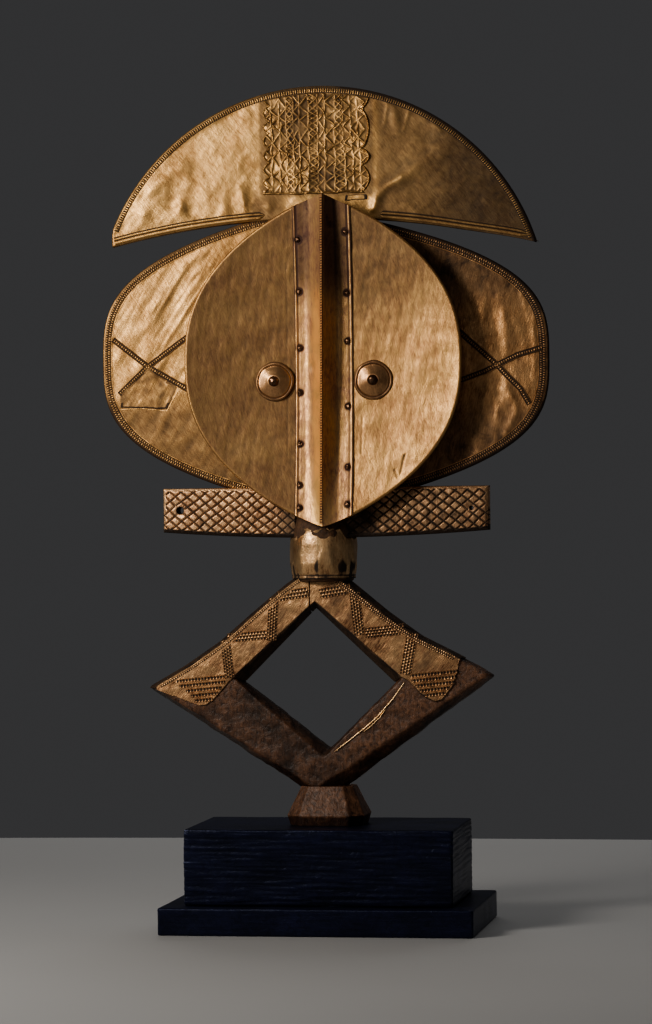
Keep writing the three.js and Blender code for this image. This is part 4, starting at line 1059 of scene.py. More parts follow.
def lattice(x, z):
    """The bar's pattern: flat-topped lozenges between narrow grooves. With a and b counting half
    cells across and up, a groove runs wherever a + b or a - b is a whole number; the lozenges
    crumple where the bar passes behind the face."""
    low = bar_bottom(x)
    wobble = 0.07 * smooth_noise(x, z, 16, SEED + 11)
    across, up = x / LATTICE_WIDTH + wobble, (z - low - BAR_BORDER) / LATTICE_HEIGHT
    rising, falling = across + up, across - up + 0.8 * wobble
    cell = 1 / np.hypot(1 / LATTICE_WIDTH, 1 / LATTICE_HEIGHT)
    groove = cell * np.minimum(
        np.abs(rising - np.round(rising)), np.abs(falling - np.round(falling))
    )
    inside = np.minimum(np.minimum(z - low, BAR_TOP - z), BAR_HALF - np.abs(x - BAR_X))
    kept = step_up(np.abs(x - FACE_X), 32, 50)
    pillow = step_up(groove, 0.2, 1.1) * (1 - step_up(-inside, -BAR_BORDER, 0))
    return pillow * (0.35 + 0.65 * kept), inside, step_up(groove, 0.15, 0.8), kept


HOLE_Z = BAR_TOP - BAR_HEIGHT / 2
BAR_HOLES = (
    (BAR_X - BAR_HALF + BAR_HOLE_INSET, 3.0), (BAR_X + BAR_HALF - BAR_HOLE_INSET, 1.8),
)


def bar_sheet_y(x, z):
    """The y of the bar sheet's front: the lattice, 1 high, on a beaten ground."""
    pillow, inside, _, kept = lattice(x, z)
    ground = beaten(x, z, (40, 13, 6), (0.5, 0.3, 0.12), seed=91)
    ground = ground + 0.5 * (1 - kept) * smooth_noise(x, z, 7, SEED + 12)
    hole = sum(bell(np.hypot(x - hx, z - HOLE_Z) / (r + 1.6), 1) for hx, r in BAR_HOLES)
    height = (pillow * (1 - np.clip(hole, 0, 1)) + ground) * step_up(inside, 0.2, 2)
    lip = 0.3 * bell(inside - 0.8, 0.5)
    back = rolled(np.clip(inside + SKIN, 0, None), 1.6)
    return BAR_FRONT - SKIN - kept_above(height, 0.8) - lip + back


def loop_round(numbers):
    """The corner numbers round a grid's edge, in the order that its faces turn."""
    return np.concatenate(
        [numbers[:-1, 0], numbers[-1, :-1], numbers[:0:-1, -1], numbers[0, :0:-1]]
    )


def holed_plate(front, back, holes, tone=0.5, rings=4):
    """A closed plate between two grids of one size, with round holes through it. Round each hole
    a window of faces is left out, and rings lead from the window's edge to the circle's."""
    rows, columns = front.shape[:2]
    numbers = np.arange(rows * columns).reshape(rows, columns)
    kept = np.ones((rows - 1, columns - 1), bool)
    points, tones = [front.reshape(-1, 3), back.reshape(-1, 3)], [np.ravel(tone), np.ravel(tone)]
    turned_quads, walls = [], []
    total = 2 * rows * columns

    def joined(first, second):
        """Faces between two loops of equal length."""
        return np.stack([first, np.roll(first, -1), np.roll(second, -1), second], axis=1)

    for centre_x, centre_z, radius in holes:
        near = np.hypot(front[..., 0] - centre_x, front[..., 2] - centre_z) < radius * 1.5
        i, j = np.nonzero(near)
        window = numbers[i.min() : i.max() + 1, j.min() : j.max() + 1]
        kept[i.min() : i.max(), j.min() : j.max()] = False
        loop = loop_round(window)
        circles = []
        for layer, shift in ((front, 0), (back, rows * columns)):
            edge = layer.reshape(-1, 3)[loop]
            turn = np.arctan2(edge[:, 2] - centre_z, edge[:, 0] - centre_x)
            circle = np.stack([
                centre_x + radius * np.cos(turn), edge[:, 1] * 0 + edge[:, 1].mean(),
                centre_z + radius * np.sin(turn),
            ], axis=1)
            last = loop + shift
            for share in (np.arange(rings) + 1) / rings:
                points.append(edge + (circle - edge) * share)
                tones.append(np.full(len(loop), 0.5 - 0.4 * share))
                ring = np.arange(total, total + len(loop))
                total += len(loop)
                quads = joined(last, ring)
                turned_quads.append(quads if shift == 0 else quads[:, ::-1])
                last = ring
            circles.append(last)
        walls.append(joined(circles[0], circles[1]))
    rim = loop_round(numbers)
    walls.append(joined(rim, rim + rows * columns)[:, ::-1])
    kept = kept.ravel()
    plain = quads_of(numbers)[kept]
    faces = [plain, plain[:, ::-1] + rows * columns, *turned_quads, *walls]
    points = np.concatenate(points)
    return points, outward(points, faces), np.concatenate(tones)


def bar_patch(side):
    """Half of the bar's sheet, with the lattice, its edges turned over and the hole at its end."""
    end = BAR_X + side * (BAR_HALF + SKIN)
    inner = NECK_X + side * BAR_SHEET_START
    x = np.linspace(min(end, inner), max(end, inner), 301)[:, None]
    share = (0.35 * eased(97) + 0.65 * np.linspace(0, 1, 97))[None, :]
    z = bar_bottom(x) - SKIN + (BAR_TOP + 2 * SKIN - bar_bottom(x)) * share
    x = x + 0 * z
    _, inside, top, kept = lattice(x, z)
    tone = (0.04 + 0.58 * top) * (0.35 + 0.65 * kept)
    tone = tone * (1.05 + 0.55 * smooth_noise(x, z, 5.5, SEED + 16))
    rim = step_up(-inside, -1.3, -0.5) * step_up(z, 255, 258)
    # Painted shade: the right half is dimmed to half, partly because it lies away from the light
    # and in the face's shadow, and a band along the lower edge is dark where the rolled-under edge
    # lies in shadow.
    tone = (tone * (1 - rim) + rim) * (1 if side < 0 else 0.5)
    tone = tone * step_up(z - bar_bottom(x), 1.2, 2.6)
    hole_x, radius = BAR_HOLES[0 if side < 0 else 1]
    shaped = np.dstack([x, bar_sheet_y(x, z), z, tone])
    edges = ("v0", "v1", "u0" if side < 0 else "u1")
    shaped = turned_over(shaped, edges, BOARD_WRAP_Y, 0.6)
    front, tone = shaped[..., :3], shaped[..., 3]
    back = front - SHEET * grid_normals(front)
    return holed_plate(front, back, [(hole_x, HOLE_Z, radius)], tone)


# Neck and arms


def neck_radius(z):
    """The neck's radius: growing from its lower end to its shoulder, then even."""
    shoulder = NECK_BOTTOM + 0.35 * (NECK_TOP - NECK_BOTTOM)
    up = np.clip((z - NECK_BOTTOM) / (shoulder - NECK_BOTTOM), 0, 1)
    return NECK_END_R + (NECK_R - NECK_END_R) * up


def round_neck(radius, turn, z):
    """Points round the neck's axis."""
    x, y = NECK_X + radius * np.cos(turn), radius * np.sin(turn)
    return np.stack([x, y, z + 0 * x], axis=-1)


def neck_sheet_patch():
    """The sheet round the neck: its outer and inner skin, closed over a ragged upper edge that
    climbs in front of the bar."""
    count = 320
    turn = np.linspace(0, 2 * np.pi, count, endpoint=False)[:, None]
    arc = turn * NECK_R
    wave_x, wave_y = 40 * np.cos(turn), 40 * np.sin(turn)
    ragged = beaten(wave_x, wave_y, (14, 5, 2.4), (1.6, 1.4, 0.9), seed=101)
    front = step_up(-np.sin(turn), 0.6, 0.8)
    top = NECK_SHEET_TOP + 7.5 * front + np.clip(0.8 * ragged, -2.2, 1.8)
    up = np.linspace(0, 1, 65)[None, :]
    z = NECK_SHEET_LOW + (top - NECK_SHEET_LOW) * up
    dent = 0.7 * smooth_noise(wave_x + 0 * z, wave_y + z * 0.8, 17, 103)
    fine = 0.22 * smooth_noise(arc + 0 * z, z * 0.4, 5, 104)
    groove = -0.5 * bell(z - NECK_GROOVE_Z, 0.9)
    curl = 0.9 * bell(z - top, 1.4) * (0.3 + 0.7 * smooth_noise(arc, 0 * arc, 6, 105))
    shoulder = -1.3 * step_up(z, 226, 238)
    outer = neck_radius(z) + SKIN + kept_above(dent + fine + groove + curl, 0.8) + shoulder
    inner = outer[:, ::-8] - SHEET
    radius = np.concatenate([outer, inner], axis=1)
    height = np.concatenate([z, z[:, ::-8]], axis=1)
    drips = step_up(smooth_noise(arc + 0 * z, z * 0.2, 5, 106), 0.05, 0.5)
    drips = drips * (1 - step_up(z + 4 * smooth_noise(arc, 0 * arc, 4, 107), 208, 219))
    brighter = 0.6 + 0.3 * (dent + fine) - 0.5 * bell(z - NECK_GROOVE_Z, 1.2) - 0.7 * drips
    brighter = brighter - 0.5 * (1 - step_up(z, 200, 201)) - 0.3 * bell(z - top, 1.0)
    tone = np.concatenate([brighter, 0.1 + 0 * inner], axis=1)
    return body_patch(round_neck(radius, turn, height), tone, around_u=True)


def side_of_lozenge(corners, bows, share):
    """Points along one side, from corner to corner, each off the straight line by its bow."""
    (x0, z0), (x1, z1) = corners
    run = np.array([x1 - x0, z1 - z0])
    run = run / np.hypot(*run)
    bow = np.interp(share, np.linspace(0, 1, len(bows)), bows)
    x, z = x0 + (x1 - x0) * share - run[1] * bow, z0 + (z1 - z0) * share + run[0] * bow
    return np.stack([x, z], axis=-1)


def lozenge_loop(corners, bows, count, margin=0.0):
    """A dense closed loop through the four sides, its corners a little softened, moved out by a
    margin along the loop's normal."""
    share = np.linspace(0, 1, count, endpoint=False)
    loop = np.concatenate([
        side_of_lozenge((corners[at], corners[(at + 1) % 4]), bows[at], share) for at in range(4)
    ])
    loop = rounded_off(loop, 6, 2)
    return loop + margin * sideways(np.roll(loop, -1, 0) - np.roll(loop, 1, 0))


STRAIGHT = ((0, 0),) * 4
RING_COUNT = 120
ARM_SEAM_X = -12.4
ARM_STAY = {-1: 0.62, 1: 0.74}
ARM_SHOULDER_Y, ARM_BACK_Y = -LOZENGE_SHOULDER - 0.4, -1
PAST_SEAM = 14  # points of a loop


def arm_relief(x, z):
    """The arm sheets' height over the wood's flat front."""
    return kept_above(beaten(x, z, (34, 13, 6, 3.2), (0.55, 0.4, 0.18, 0.06), seed=111), 0.8)


def arm_front(x, z):
    """The y of an arm sheet's front."""
    return LOZENGE_FRONT - SKIN - arm_relief(x, z)


LEFT_ARM_END = (
    (-77, 118), (-79.6, 115.2), (-85.2, 108.6), (-91.5, 102), (-97.7, 97.2), (-103.5, 96.5),
    (-120, 103), (-139, 110.3),
)
RIGHT_ARM_END = (
    (63.5, 118.8), (67.7, 116.4), (77.4, 105.9), (83.5, 101.8), (89.5, 99.4), (95, 101),
    (103.4, 111.5), (107.6, 123.6), (109.3, 133.2), (111.5, 139.6),
)


def arm_run(loop, side):
    """A loop's stretch over one arm, from past the seam outwards to the corner."""
    if side < 0:
        return loop[RING_COUNT::-1]
    return loop[RING_COUNT - PAST_SEAM : 2 * RING_COUNT + 1]


def drawn_out(path, lead, share):
    """Points on a path at shares of another path's length, both having as many corners."""
    steps = np.r_[0, np.cumsum(np.linalg.norm(np.diff(lead, axis=0), axis=1))]
    return np.stack([np.interp(share * steps[-1], steps, column) for column in path.T], axis=1)


def arm_patch(side, end):
    """An arm's sheet. Its outer edge runs from the seam to where the sheet ends and stays there;
    its inner edge runs from the seam down the opening and on along the sheet's end. Between them
    lie straight rulings, and beyond both the sheet goes back over the wood's sloping sides."""
    outer, wide, inner, deep = (
        arm_run(lozenge_loop(outline, bows, RING_COUNT, margin), side)
        for outline, bows, margin in (
            (LOZENGE_FRONT_OUT, LOZENGE_BOWS, SKIN), (LOZENGE_OUT, LOZENGE_BOWS, SKIN),
            (LOZENGE_FRONT_IN, STRAIGHT, -SKIN), (LOZENGE_IN, STRAIGHT, -SKIN),
        )
    )
    seam = ARM_SEAM_X + side * GAP / 2
    end = np.asarray(end, float)
    kept = side * (outer[:, 0] - seam) >= 0
    outer, wide = outer[kept], wide[kept]
    kept = side * (inner[:, 0] - seam) >= 0
    inner, deep = inner[kept], deep[kept]
    last = nearest_at(outer, end[-1]) + 1
    outer, wide = outer[:last], wide[:last]
    end[-1] = outer[-1]
    last = nearest_at(inner, end[0]) + 1
    inner, deep = (np.concatenate([path[:last], end[1:]]) for path in (inner, deep))
    even = np.linspace(0, 1, 285)
    stay = np.minimum(even / ARM_STAY[side], 1)
    outer_at, wide_at = drawn_out(outer, outer, stay), drawn_out(wide, outer, stay)
    inner_at, deep_at = drawn_out(inner, inner, even), drawn_out(deep, inner, even)

    share = eased(57)[None, :, None]
    flat = outer_at[:, None] + (inner_at - outer_at)[:, None] * share
    x, z = flat[..., 0], flat[..., 1]
    run = np.linalg.norm(inner_at - outer_at, axis=1)[:, None]
    near = np.minimum(share[..., 0], 1 - share[..., 0]) * run
    tone = tone_of(arm_relief(x, z), 6, 0.9) - 0.3 * (1 - step_up(near, 0.5, 1.6)) - 0.12
    tone = tone + 0.2 * smooth_noise(x, z, 15, SEED + 15) + (0.08 if side < 0 else 0)
    tone = tone + 0.4 * bell(np.hypot(x + 4, z - 195), 7)
    front = np.dstack([x, arm_front(x, z) + rolled(near, 1.2), z, tone])

    def skirt(rim, aside, rows=5):
        """Columns from the front's edge over the sloping side and straight back."""
        # The sloping sides get a tone of 0.1: painted shade.
        dark = np.full(len(rim), 0.1)
        wood = np.stack([aside[:, 0], dark * 0 + ARM_SHOULDER_Y, aside[:, 1], dark], axis=1)
        made = [rim + (wood - rim) * part for part in (np.arange(rows) + 1) / rows]
        made.append(wood * (1, 0, 1, 1) + (0, ARM_BACK_Y, 0, 0))
        made = np.stack(made, axis=1)
        made[..., 3] = 0.1
        return made

    outer_skirt, inner_skirt = skirt(front[:, 0], wide_at), skirt(front[:, -1], deep_at)
    return toned_sheet(np.concatenate([outer_skirt[:, ::-1], front, inner_skirt], axis=1))


ARM_BANDS = {
    -1: (((-38.5, 185), (-13.8, 188.6), 8.5, 3), ((-41.6, 184), (-44, 149.6), 8.4, 4),
         ((-80.5, 151.4), (-47, 154.2), 7.6, 3), ((-82, 150), (-78.8, 119.4), 8.4, 4),
         ((-127, 116.2), (-82, 120.2), 3.4, 1), ((-121, 112.4), (-82.5, 116), 3.4, 1),
         ((-115, 108.5), (-85.5, 111.3), 3.4, 1), ((-111.1, 104.5), (-88.5, 106.8), 3.4, 1),
         ((-107.9, 100.5), (-93, 102), 3.4, 1)),
    1: (((-3.6, 187.2), (21.4, 191), 8.5, 3), ((24.6, 188), (28.5, 153.8), 9, 4),
        ((33.2, 155), (65, 158.4), 9, 4), ((71.9, 155), (65.4, 121.6), 9.5, 4),
        ((69.5, 120.4), (108.2, 124.2), 3.6, 1), ((70.6, 116.4), (106.6, 119.8), 3.6, 1),
        ((73.8, 112.4), (105.4, 115.4), 3.6, 1), ((77.2, 108.4), (101.4, 110.9), 3.6, 1),
        ((81.2, 104.6), (98, 106.6), 3.6, 1)),
}


def arm_edge(side, inset):
    """Points along an arm's upper edge, set in by a distance, from its seam to its end."""
    loop = lozenge_loop(LOZENGE_FRONT_OUT, LOZENGE_BOWS, RING_COUNT, SKIN - inset)
    if side < 0:
        return loop[3 : RING_COUNT - 9]
    return loop[RING_COUNT + 2 : nearest_at(loop, RIGHT_ARM_END[-1]) - 1]


def arm_band_patches(side):
    """The punched bands on an arm's sheet, the hem along its upper edge and, on the left arm, a
    bright raised line on the very edge. The bands end where they meet the hem."""
    limit = arm_edge(side, 4.2)
    limit = limit[np.argsort(limit[:, 0])]

    def seat(x, z):
        """The sheet's front, deeper above the hem's lower edge, so that a band sinks there."""
        over = z - np.interp(x, limit[:, 0], limit[:, 1])
        return arm_front(x, z) + 1.3 * step_up(over, -0.6, 0.3)

    bands = [
        swept_line([start, end], seat, width, punched(0.6, 2.6, rows), 0.42,
                   6 * rows + 1, sink=0.1)
        for start, end, width, rows in ARM_BANDS[side]
    ]
    if side < 0:
        hems = ((0.9, 1.1, bead_line(0.35, 0.4, 0.85), 5), (2.6, 1.8, ticked(0.35, 1.9), 7))
    else:
        hems = ((2.5, 4.2, ticked(0.45, 1.9, 2), 11), (5.2, 0.9, bead_line(0.25, 0.3, 0.7), 5))
    for inset, width, section, across in hems:
        bands.append(swept_line(
            arm_edge(side, inset), arm_front, width, section, 0.45, across, sink=0.1,
            taper=(0, 4 if side < 0 else 1),
        ))
    return bands


# Wood


def adze(a, b, seed):
    """Cuts of a blade over carved wood: shallow hollows in rows, and finer noise."""
    return beaten(a, b, (19, 8, 3), (0.5, 0.2, 0.06), seed=seed)


def slab_patch(left, right, front_y, back_y, across=61, tone=0.5, seed=SEED):
    """A board between two edge lines of (x, z) points, one point of each to a station: a ring
    across the front, round the edge and across the cut back, closed at both ends."""
    left, right = np.asarray(left, float)[:, None], np.asarray(right, float)[:, None]
    share = np.linspace(0, 1, across)[None, :, None]
    back = left + (right - left) * share
    front = right + (left - right) * np.linspace(0.004, 0.996, 9)[None, :, None]
    length = np.linalg.norm(right - left, axis=2)
    inside = np.minimum(share[..., 0], 1 - share[..., 0]) * length
    cut = adze(back[..., 0], back[..., 1], seed) * step_up(inside, 1, 6)
    y_back = back_y - rolled(inside, 2.5) + np.minimum(cut, 0.2)
    y_front = front_y + 0 * front[..., 0]
    x = np.concatenate([back[..., 0], front[..., 0]], axis=1)
    z = np.concatenate([back[..., 1], front[..., 1]], axis=1)
    y = np.concatenate([y_back, y_front], axis=1)
    return body_patch(np.stack([x, y, z], axis=-1), tone)


def board_patches():
    """The crescent and the two lobes as carved boards."""
    x = np.linspace(CROWN_LEFT_X, CROWN_RIGHT_X - 0.2, 161)
    low = np.stack([x, under_height(x)], axis=1)
    high = np.stack([x, np.maximum(crown_height(x), under_height(x) + 0.2)], axis=1)
    crescent = slab_patch(low, high, BOARD_FRONT, BOARD_BACK, seed=121)
    share = eased(161, 0.004, 0.996)
    left = np.stack(lobe_edge(-1, LEFT_LOBE, share), axis=1)
    right = np.stack(lobe_edge(1, RIGHT_LOBE, share), axis=1)
    return [crescent, slab_patch(left, right, BOARD_FRONT, BOARD_BACK - 0.5, 121, seed=131)]


def bar_wood_patch():
    """The wooden bar with a hole near each end."""
    x = np.linspace(BAR_X - BAR_HALF, BAR_X + BAR_HALF, 177)[:, None]
    share = np.linspace(0, 1, 29)[None, :]
    z = bar_bottom(x) + (BAR_TOP - bar_bottom(x)) * share
    x = x + 0 * z
    inside = np.minimum(np.minimum(z - bar_bottom(x), BAR_TOP - z), BAR_HALF - np.abs(x - BAR_X))
    cut = np.minimum(adze(x, z, 141), 0.2)
    front = np.stack([x, BAR_FRONT + rolled(inside, 0.8), z], axis=-1)
    back = np.stack([x, BAR_BACK - rolled(inside, 1.6) + cut, z], axis=-1)
    holes = [(hole_x, HOLE_Z, radius) for hole_x, radius in BAR_HOLES]
    return holed_plate(front, back, holes, 0.5 + 0 * x)


def plaque_patch():
    """The face's wood: its dished front under the brass, and its side drawn in by the undercut."""
    count = 121
    row = np.sin(np.linspace(-0.5, 0.5, 33) * np.pi)
    reach = FACE_HALF_WIDTH * np.sin(np.linspace(-0.5, 0.5, count) * np.pi)
    half = face_half_height(FACE_X + reach, 0)[:, None]
    front_x = FACE_X + reach[:, None] + 0 * half * row
    front_z = FACE_Z + half * row
    front = np.stack([front_x, face_front(front_x, front_z), front_z], axis=-1)
    shrink_x = (FACE_HALF_WIDTH - UNDERCUT) / FACE_HALF_WIDTH
    shrink_z = (FACE_HALF_HEIGHT - UNDERCUT) / FACE_HALF_HEIGHT
    back_z = FACE_Z + shrink_z * half * row[::-1]
    back = np.stack([FACE_X + shrink_x * (front_x - FACE_X), 3 + 0 * back_z, back_z], axis=-1)
    steps = (np.arange(9) + 1)[None, :, None] / 10
    top = front[:, -1:] + (back[:, :1] - front[:, -1:]) * steps
    low = back[:, -1:] + (front[:, :1] - back[:, -1:]) * steps
    return body_patch(np.concatenate([front, top, back, low], axis=1))


def spine_patch():
    """The neck and the spine behind the face, turned about one axis."""
    profile = np.array([
        (2, NECK_BOTTOM), (NECK_END_R - 1.5, NECK_BOTTOM), (NECK_END_R, NECK_BOTTOM + 1.5),
        (NECK_R, NECK_BOTTOM + 14.5), (NECK_R, NECK_TOP), (SPINE_MIDDLE_R, SPINE_MIDDLE_Z),
        (1, SPINE_TOP),
    ])
    points, _ = resampled(profile, 1.6)
    radius, z = points[:, 0], points[:, 1]
    turn = np.linspace(0, 2 * np.pi, 96, endpoint=False)[None, :]
    wave = adze(26 * np.cos(turn) + 0 * z[:, None], 26 * np.sin(turn) + z[:, None] * 0.5, 152)
    radius = radius[:, None] + np.minimum(wave, 0.2) * step_up(radius[:, None], 2, 10)
    return body_patch(round_neck(radius, turn, z[:, None]))


def stacked_points(layers, count=24, step=1.5):
    """The points of a carved block whose sections are polygons: layers of corners (x, y, z),
    matched one to one and joined by straight sides with dense points, their arrises softened."""
    loops = []
    for layer in layers:
        layer = np.asarray(layer, float)
        share = np.linspace(0, 1, count, endpoint=False)[:, None]
        loop = np.concatenate([
            layer[at] + (layer[(at + 1) % len(layer)] - layer[at]) * share
            for at in range(len(layer))
        ])
        loops.append(rounded_off(loop, 2, 4))
    rows = []
    for first, second in zip(loops[:-1], loops[1:]):
        steps = max(int(np.abs(second - first).max() / step), 1)
        rows += [first + (second - first) * share for share in np.arange(steps) / steps]
    rows.append(loops[-1])
    return np.stack(rows)


def lozenge_patch():
    """The wooden lozenge round its opening: eight loops joined in a ring, with softened arrises
    and knife cuts over the faces."""
    loops = (
        (LOZENGE_FRONT_OUT, LOZENGE_BOWS, LOZENGE_FRONT),
        (LOZENGE_OUT, LOZENGE_BOWS, -LOZENGE_SHOULDER),
        (LOZENGE_OUT, LOZENGE_BOWS, LOZENGE_SHOULDER),
        (LOZENGE_BACK_OUT, LOZENGE_BOWS, LOZENGE_BACK),
        (LOZENGE_BACK_IN, STRAIGHT, LOZENGE_BACK),
        (LOZENGE_IN, STRAIGHT, LOZENGE_SHOULDER),
        (LOZENGE_IN, STRAIGHT, -LOZENGE_SHOULDER),
        (LOZENGE_FRONT_IN, STRAIGHT, LOZENGE_FRONT),
    )
    counts = (7, 7, 6, 20, 6, 7, 7, 28)
    # Each loop's tone: low on the sloping and upright sides, which is painted shade, and higher on
    # the front and the back.
    painted_shades = (0.5, 0.1, 0.18, 0.4, 0.4, 0.12, 0.08, 0.46)
    corners = []
    for outline, bows, y in loops:
        flat = lozenge_loop(outline, bows, RING_COUNT)
        corners.append(np.stack([flat[:, 0], np.full(len(flat), y), flat[:, 1]], axis=1))
    ring, tone = [], []
    for at, count in enumerate(counts):
        first, second = corners[at], corners[(at + 1) % 8]
        share = np.linspace(0, 1, count, endpoint=False)[None, :, None]
        ring.append(first[:, None] + (second - first)[:, None] * share)
        tone += list(painted_shades[at] + (painted_shades[(at + 1) % 8] - painted_shades[at]) * share.ravel())
    points = rounded_off(np.concatenate(ring, axis=1), 2, 4, axis=1)
    normal = grid_normals(points, True, True)
    normal *= np.sign(-normal[:, -10:-9, 1:2])
    x, y, z = points[..., 0], points[..., 1], points[..., 2]
    cut = beaten(x + 0.4 * y, z - 0.6 * y, (26, 10, 4), (0.7, 0.45, 0.15), seed=161)
    cut = np.minimum(cut, 0.5) - 0.25
    bare = 1 - step_up(z, 92, 118) * (y < 0)
    points = points + normal * (cut * (0.25 + 0.75 * bare))[..., None]
    tone = np.array(tone)[None, :] + 0.35 * cut + 0.1 * smooth_noise(x, z, 12, SEED + 13)
    tone = tone + 0.2 * step_up(x, 0, 40) - 0.04
    return body_patch(points, tone, around_u=True)


def bare_front(x, z):
    """The y of the bare wood's front at (x, z), below the arm sheets."""
    return LOZENGE_FRONT + 0 * (x + z)


def edge_line_patches():
    """The thin bright line along the lower right side's inner arris, doubled near its middle."""
    line = ((65.0, 115.6), (55.4, 102.2), (42.4, 87.6), (33.6, 79.8), (20, 69), (6.5, 58.8))
    second = ((49, 93.4), (44.4, 87), (36.6, 79.6), (30, 74.6))
    section = bead_line(0.8, 0.6, 1)
    return [
        swept_line(line, bare_front, 1.3, section, 0.8, 7, 0.2, (1, 8)),
        swept_line(second, bare_front, 1.0, section, 0.8, 7, 0.2, (4, 4)),
    ]


def foot_patch():
    """The foot: a cone with eight sides that flares above its lower edge."""
    layers = []
    for z, wide, deep, corner in FOOT_LAYERS:
        layers.append([
            (wide - corner, -deep, z), (wide, corner - deep, z), (wide, deep - corner, z),
            (wide - corner, deep, z), (corner - wide, deep, z), (-wide, deep - corner, z),
            (-wide, corner - deep, z), (corner - wide, -deep, z),
        ])
    points = stacked_points(layers)
    around, up = np.arctan2(points[..., 1], points[..., 0]) * 28, points[..., 2]
    cut = beaten(around, up * 0.5, (14, 6, 2.5), (0.6, 0.4, 0.12), 171)
    out = points * (1, 1, 0)
    out = out / np.maximum(np.linalg.norm(out, axis=-1, keepdims=True), 1)
    side = step_up(np.linalg.norm(points[..., :2], axis=-1), 16, 20)
    points = points + out * (np.minimum(cut, 0.3) * side)[..., None]
    # Painted shade: dark below the flare, along the undercut; painted highlight: a bright line
    # just above the flare.
    tone = 0.75 + 0.4 * cut - 0.6 * (1 - step_up(up, 6.5, 8.5)) + 0.15 * bell(up - 9.5, 1.2)
    return body_patch(points, tone)


def back_lozenge_patch():
    """The plain raised lozenge on the back."""
    layers = []
    for share, y in (
        (1, BOARD_FRONT / 2), (1, BOARD_BACK), (0.8, BOARD_BACK + 4), (0.02, BOARD_BACK + 4.2),
    ):
        half_width, half_height = share * BACK_LOZENGE_HALF_WIDTH, share * BACK_LOZENGE_HALF_HEIGHT
        layers.append([
            (FACE_X - half_width, y, BACK_LOZENGE_Z), (FACE_X, y, BACK_LOZENGE_Z + half_height),
            (FACE_X + half_width, y, BACK_LOZENGE_Z), (FACE_X, y, BACK_LOZENGE_Z - half_height),
        ])
    points = stacked_points(layers, 40, 1.6)
    cut = adze(points[..., 0], points[..., 2], 181)
    raised = step_up(points[..., 1], BOARD_BACK, BOARD_BACK + 3)
    points[..., 1] += np.minimum(cut, 0.2) * raised
    return body_patch(points)


# Stand


STAND_TUCK = 12  # how far in the last ring of the top and of the underside lies


def stand_patch(wide, deep, low, high, seed, ripple, rows):
    """A block with rounded edges and slightly wavy sides: a rounded rectangle carried up, drawn in
    at its lower and upper edge by a quarter circle."""
    radius = STAND_EDGE
    half_x, half_y = wide / 2 - radius, deep / 2 - radius
    around = []
    for sign_x, sign_y, first in ((1, -1, -1), (1, 1, 0), (-1, 1, 1), (-1, -1, 2)):
        angle = np.linspace(0, np.pi / 2, 6) + first * np.pi / 2
        arc = np.stack([np.cos(angle), np.sin(angle)], axis=1) * radius
        around.append(arc + (sign_x * half_x, sign_y * half_y))
    corner = np.concatenate(around)
    outline, _ = resampled(np.concatenate([corner, corner[:1]]), 2.2)
    outline = outline[:-1]
    bend = np.linspace(0, np.pi / 2, 6)
    rise, draw = radius * (1 - np.cos(bend)), radius * (1 - np.sin(bend))
    middle = np.linspace(low + radius, high - radius, rows)[1:-1]
    heights = np.concatenate([[low], low + rise, middle, high - rise[::-1], [high]])[:, None]
    tuck = [STAND_TUCK]
    inset = np.concatenate([tuck, draw, 0 * middle, draw[::-1], tuck])[:, None]
    x = outline[None, :, 0] * (1 - inset / (wide / 2))
    y = outline[None, :, 1] * (1 - inset / (deep / 2))
    z = heights + 0 * x
    wave = 0.3 * smooth_noise(x + 2 * y, z * 2, 46, seed)
    wave = wave + ripple * smooth_noise(x * 0.09 + y * 0.05, z, 2.7, seed + 1)
    wave = wave - ripple * np.abs(smooth_noise(x * 0.05 + y * 0.05, z, 4.6, seed + 2))
    side = inset < 0.5
    x, y = (
        value + np.sign(value) * (np.abs(value) > half) * wave * side
        for value, half in ((x, half_x), (y, half_y))
    )
    lift = 0.25 * smooth_noise(x, y, 40, seed + 3) * (heights > (low + high) / 2)
    return body_patch(np.stack([x, y, z + lift], axis=-1), 0.5 + 0.25 * wave / max(ripple, 0.2))


# Materials


def fill(tree, made, values):
    """A node's inputs, set to values or joined to other nodes' outputs."""
    for name, value in dict(values).items():
        if isinstance(value, bpy.types.NodeSocket):
            tree.links.new(value, made.inputs[name])
        else:
            made.inputs[name].default_value = value


def node(tree, kind, values=(), **settings):
    """A shader node with its settings and its inputs filled."""
    made = tree.nodes.new(kind)
    for name, value in settings.items():
        setattr(made, name, value)
    fill(tree, made, values)
    return made


def colour(red, green, blue):
    """A screen colour from 0 to 255 as the linear colour that shaders take."""
    share = np.array([red, green, blue]) / 255
    linear = np.where(share <= 0.04045, share / 12.92, ((share + 0.055) / 1.055) ** 2.4)
    return (*linear.tolist(), 1.0)


def new_group(name, inputs, outputs):
    """An empty node group with named sockets, and its two end nodes."""
    tree = bpy.data.node_groups.new(name, "ShaderNodeTree")
    for way, sockets in (("INPUT", inputs), ("OUTPUT", outputs)):
        for socket, kind in sockets.items():
            tree.interface.new_socket(socket, in_out=way, socket_type="NodeSocket" + kind)
    return tree, tree.nodes.new("NodeGroupInput").outputs, tree.nodes.new("NodeGroupOutput")


def maths(tree, operation, *values, clamp=False):
    """The result of a sum on two or three values."""
    return node(tree, "ShaderNodeMath", enumerate(values), operation=operation,
                use_clamp=clamp).outputs[0]


def weighed(tree, *parts):
    """A weighted sum: each part is a value and its weight."""
    value = 0.0
    for part, weight in parts:
        value = maths(tree, "MULTIPLY_ADD", part, weight, value)
    return value


def between(tree, value, low, high, top=1.0):
    """How far a value lies from low to high, as a share of top."""
    return node(tree, "ShaderNodeMapRange", {
        "Value": value, "From Min": low, "From Max": high, "To Max": top}).outputs["Result"]


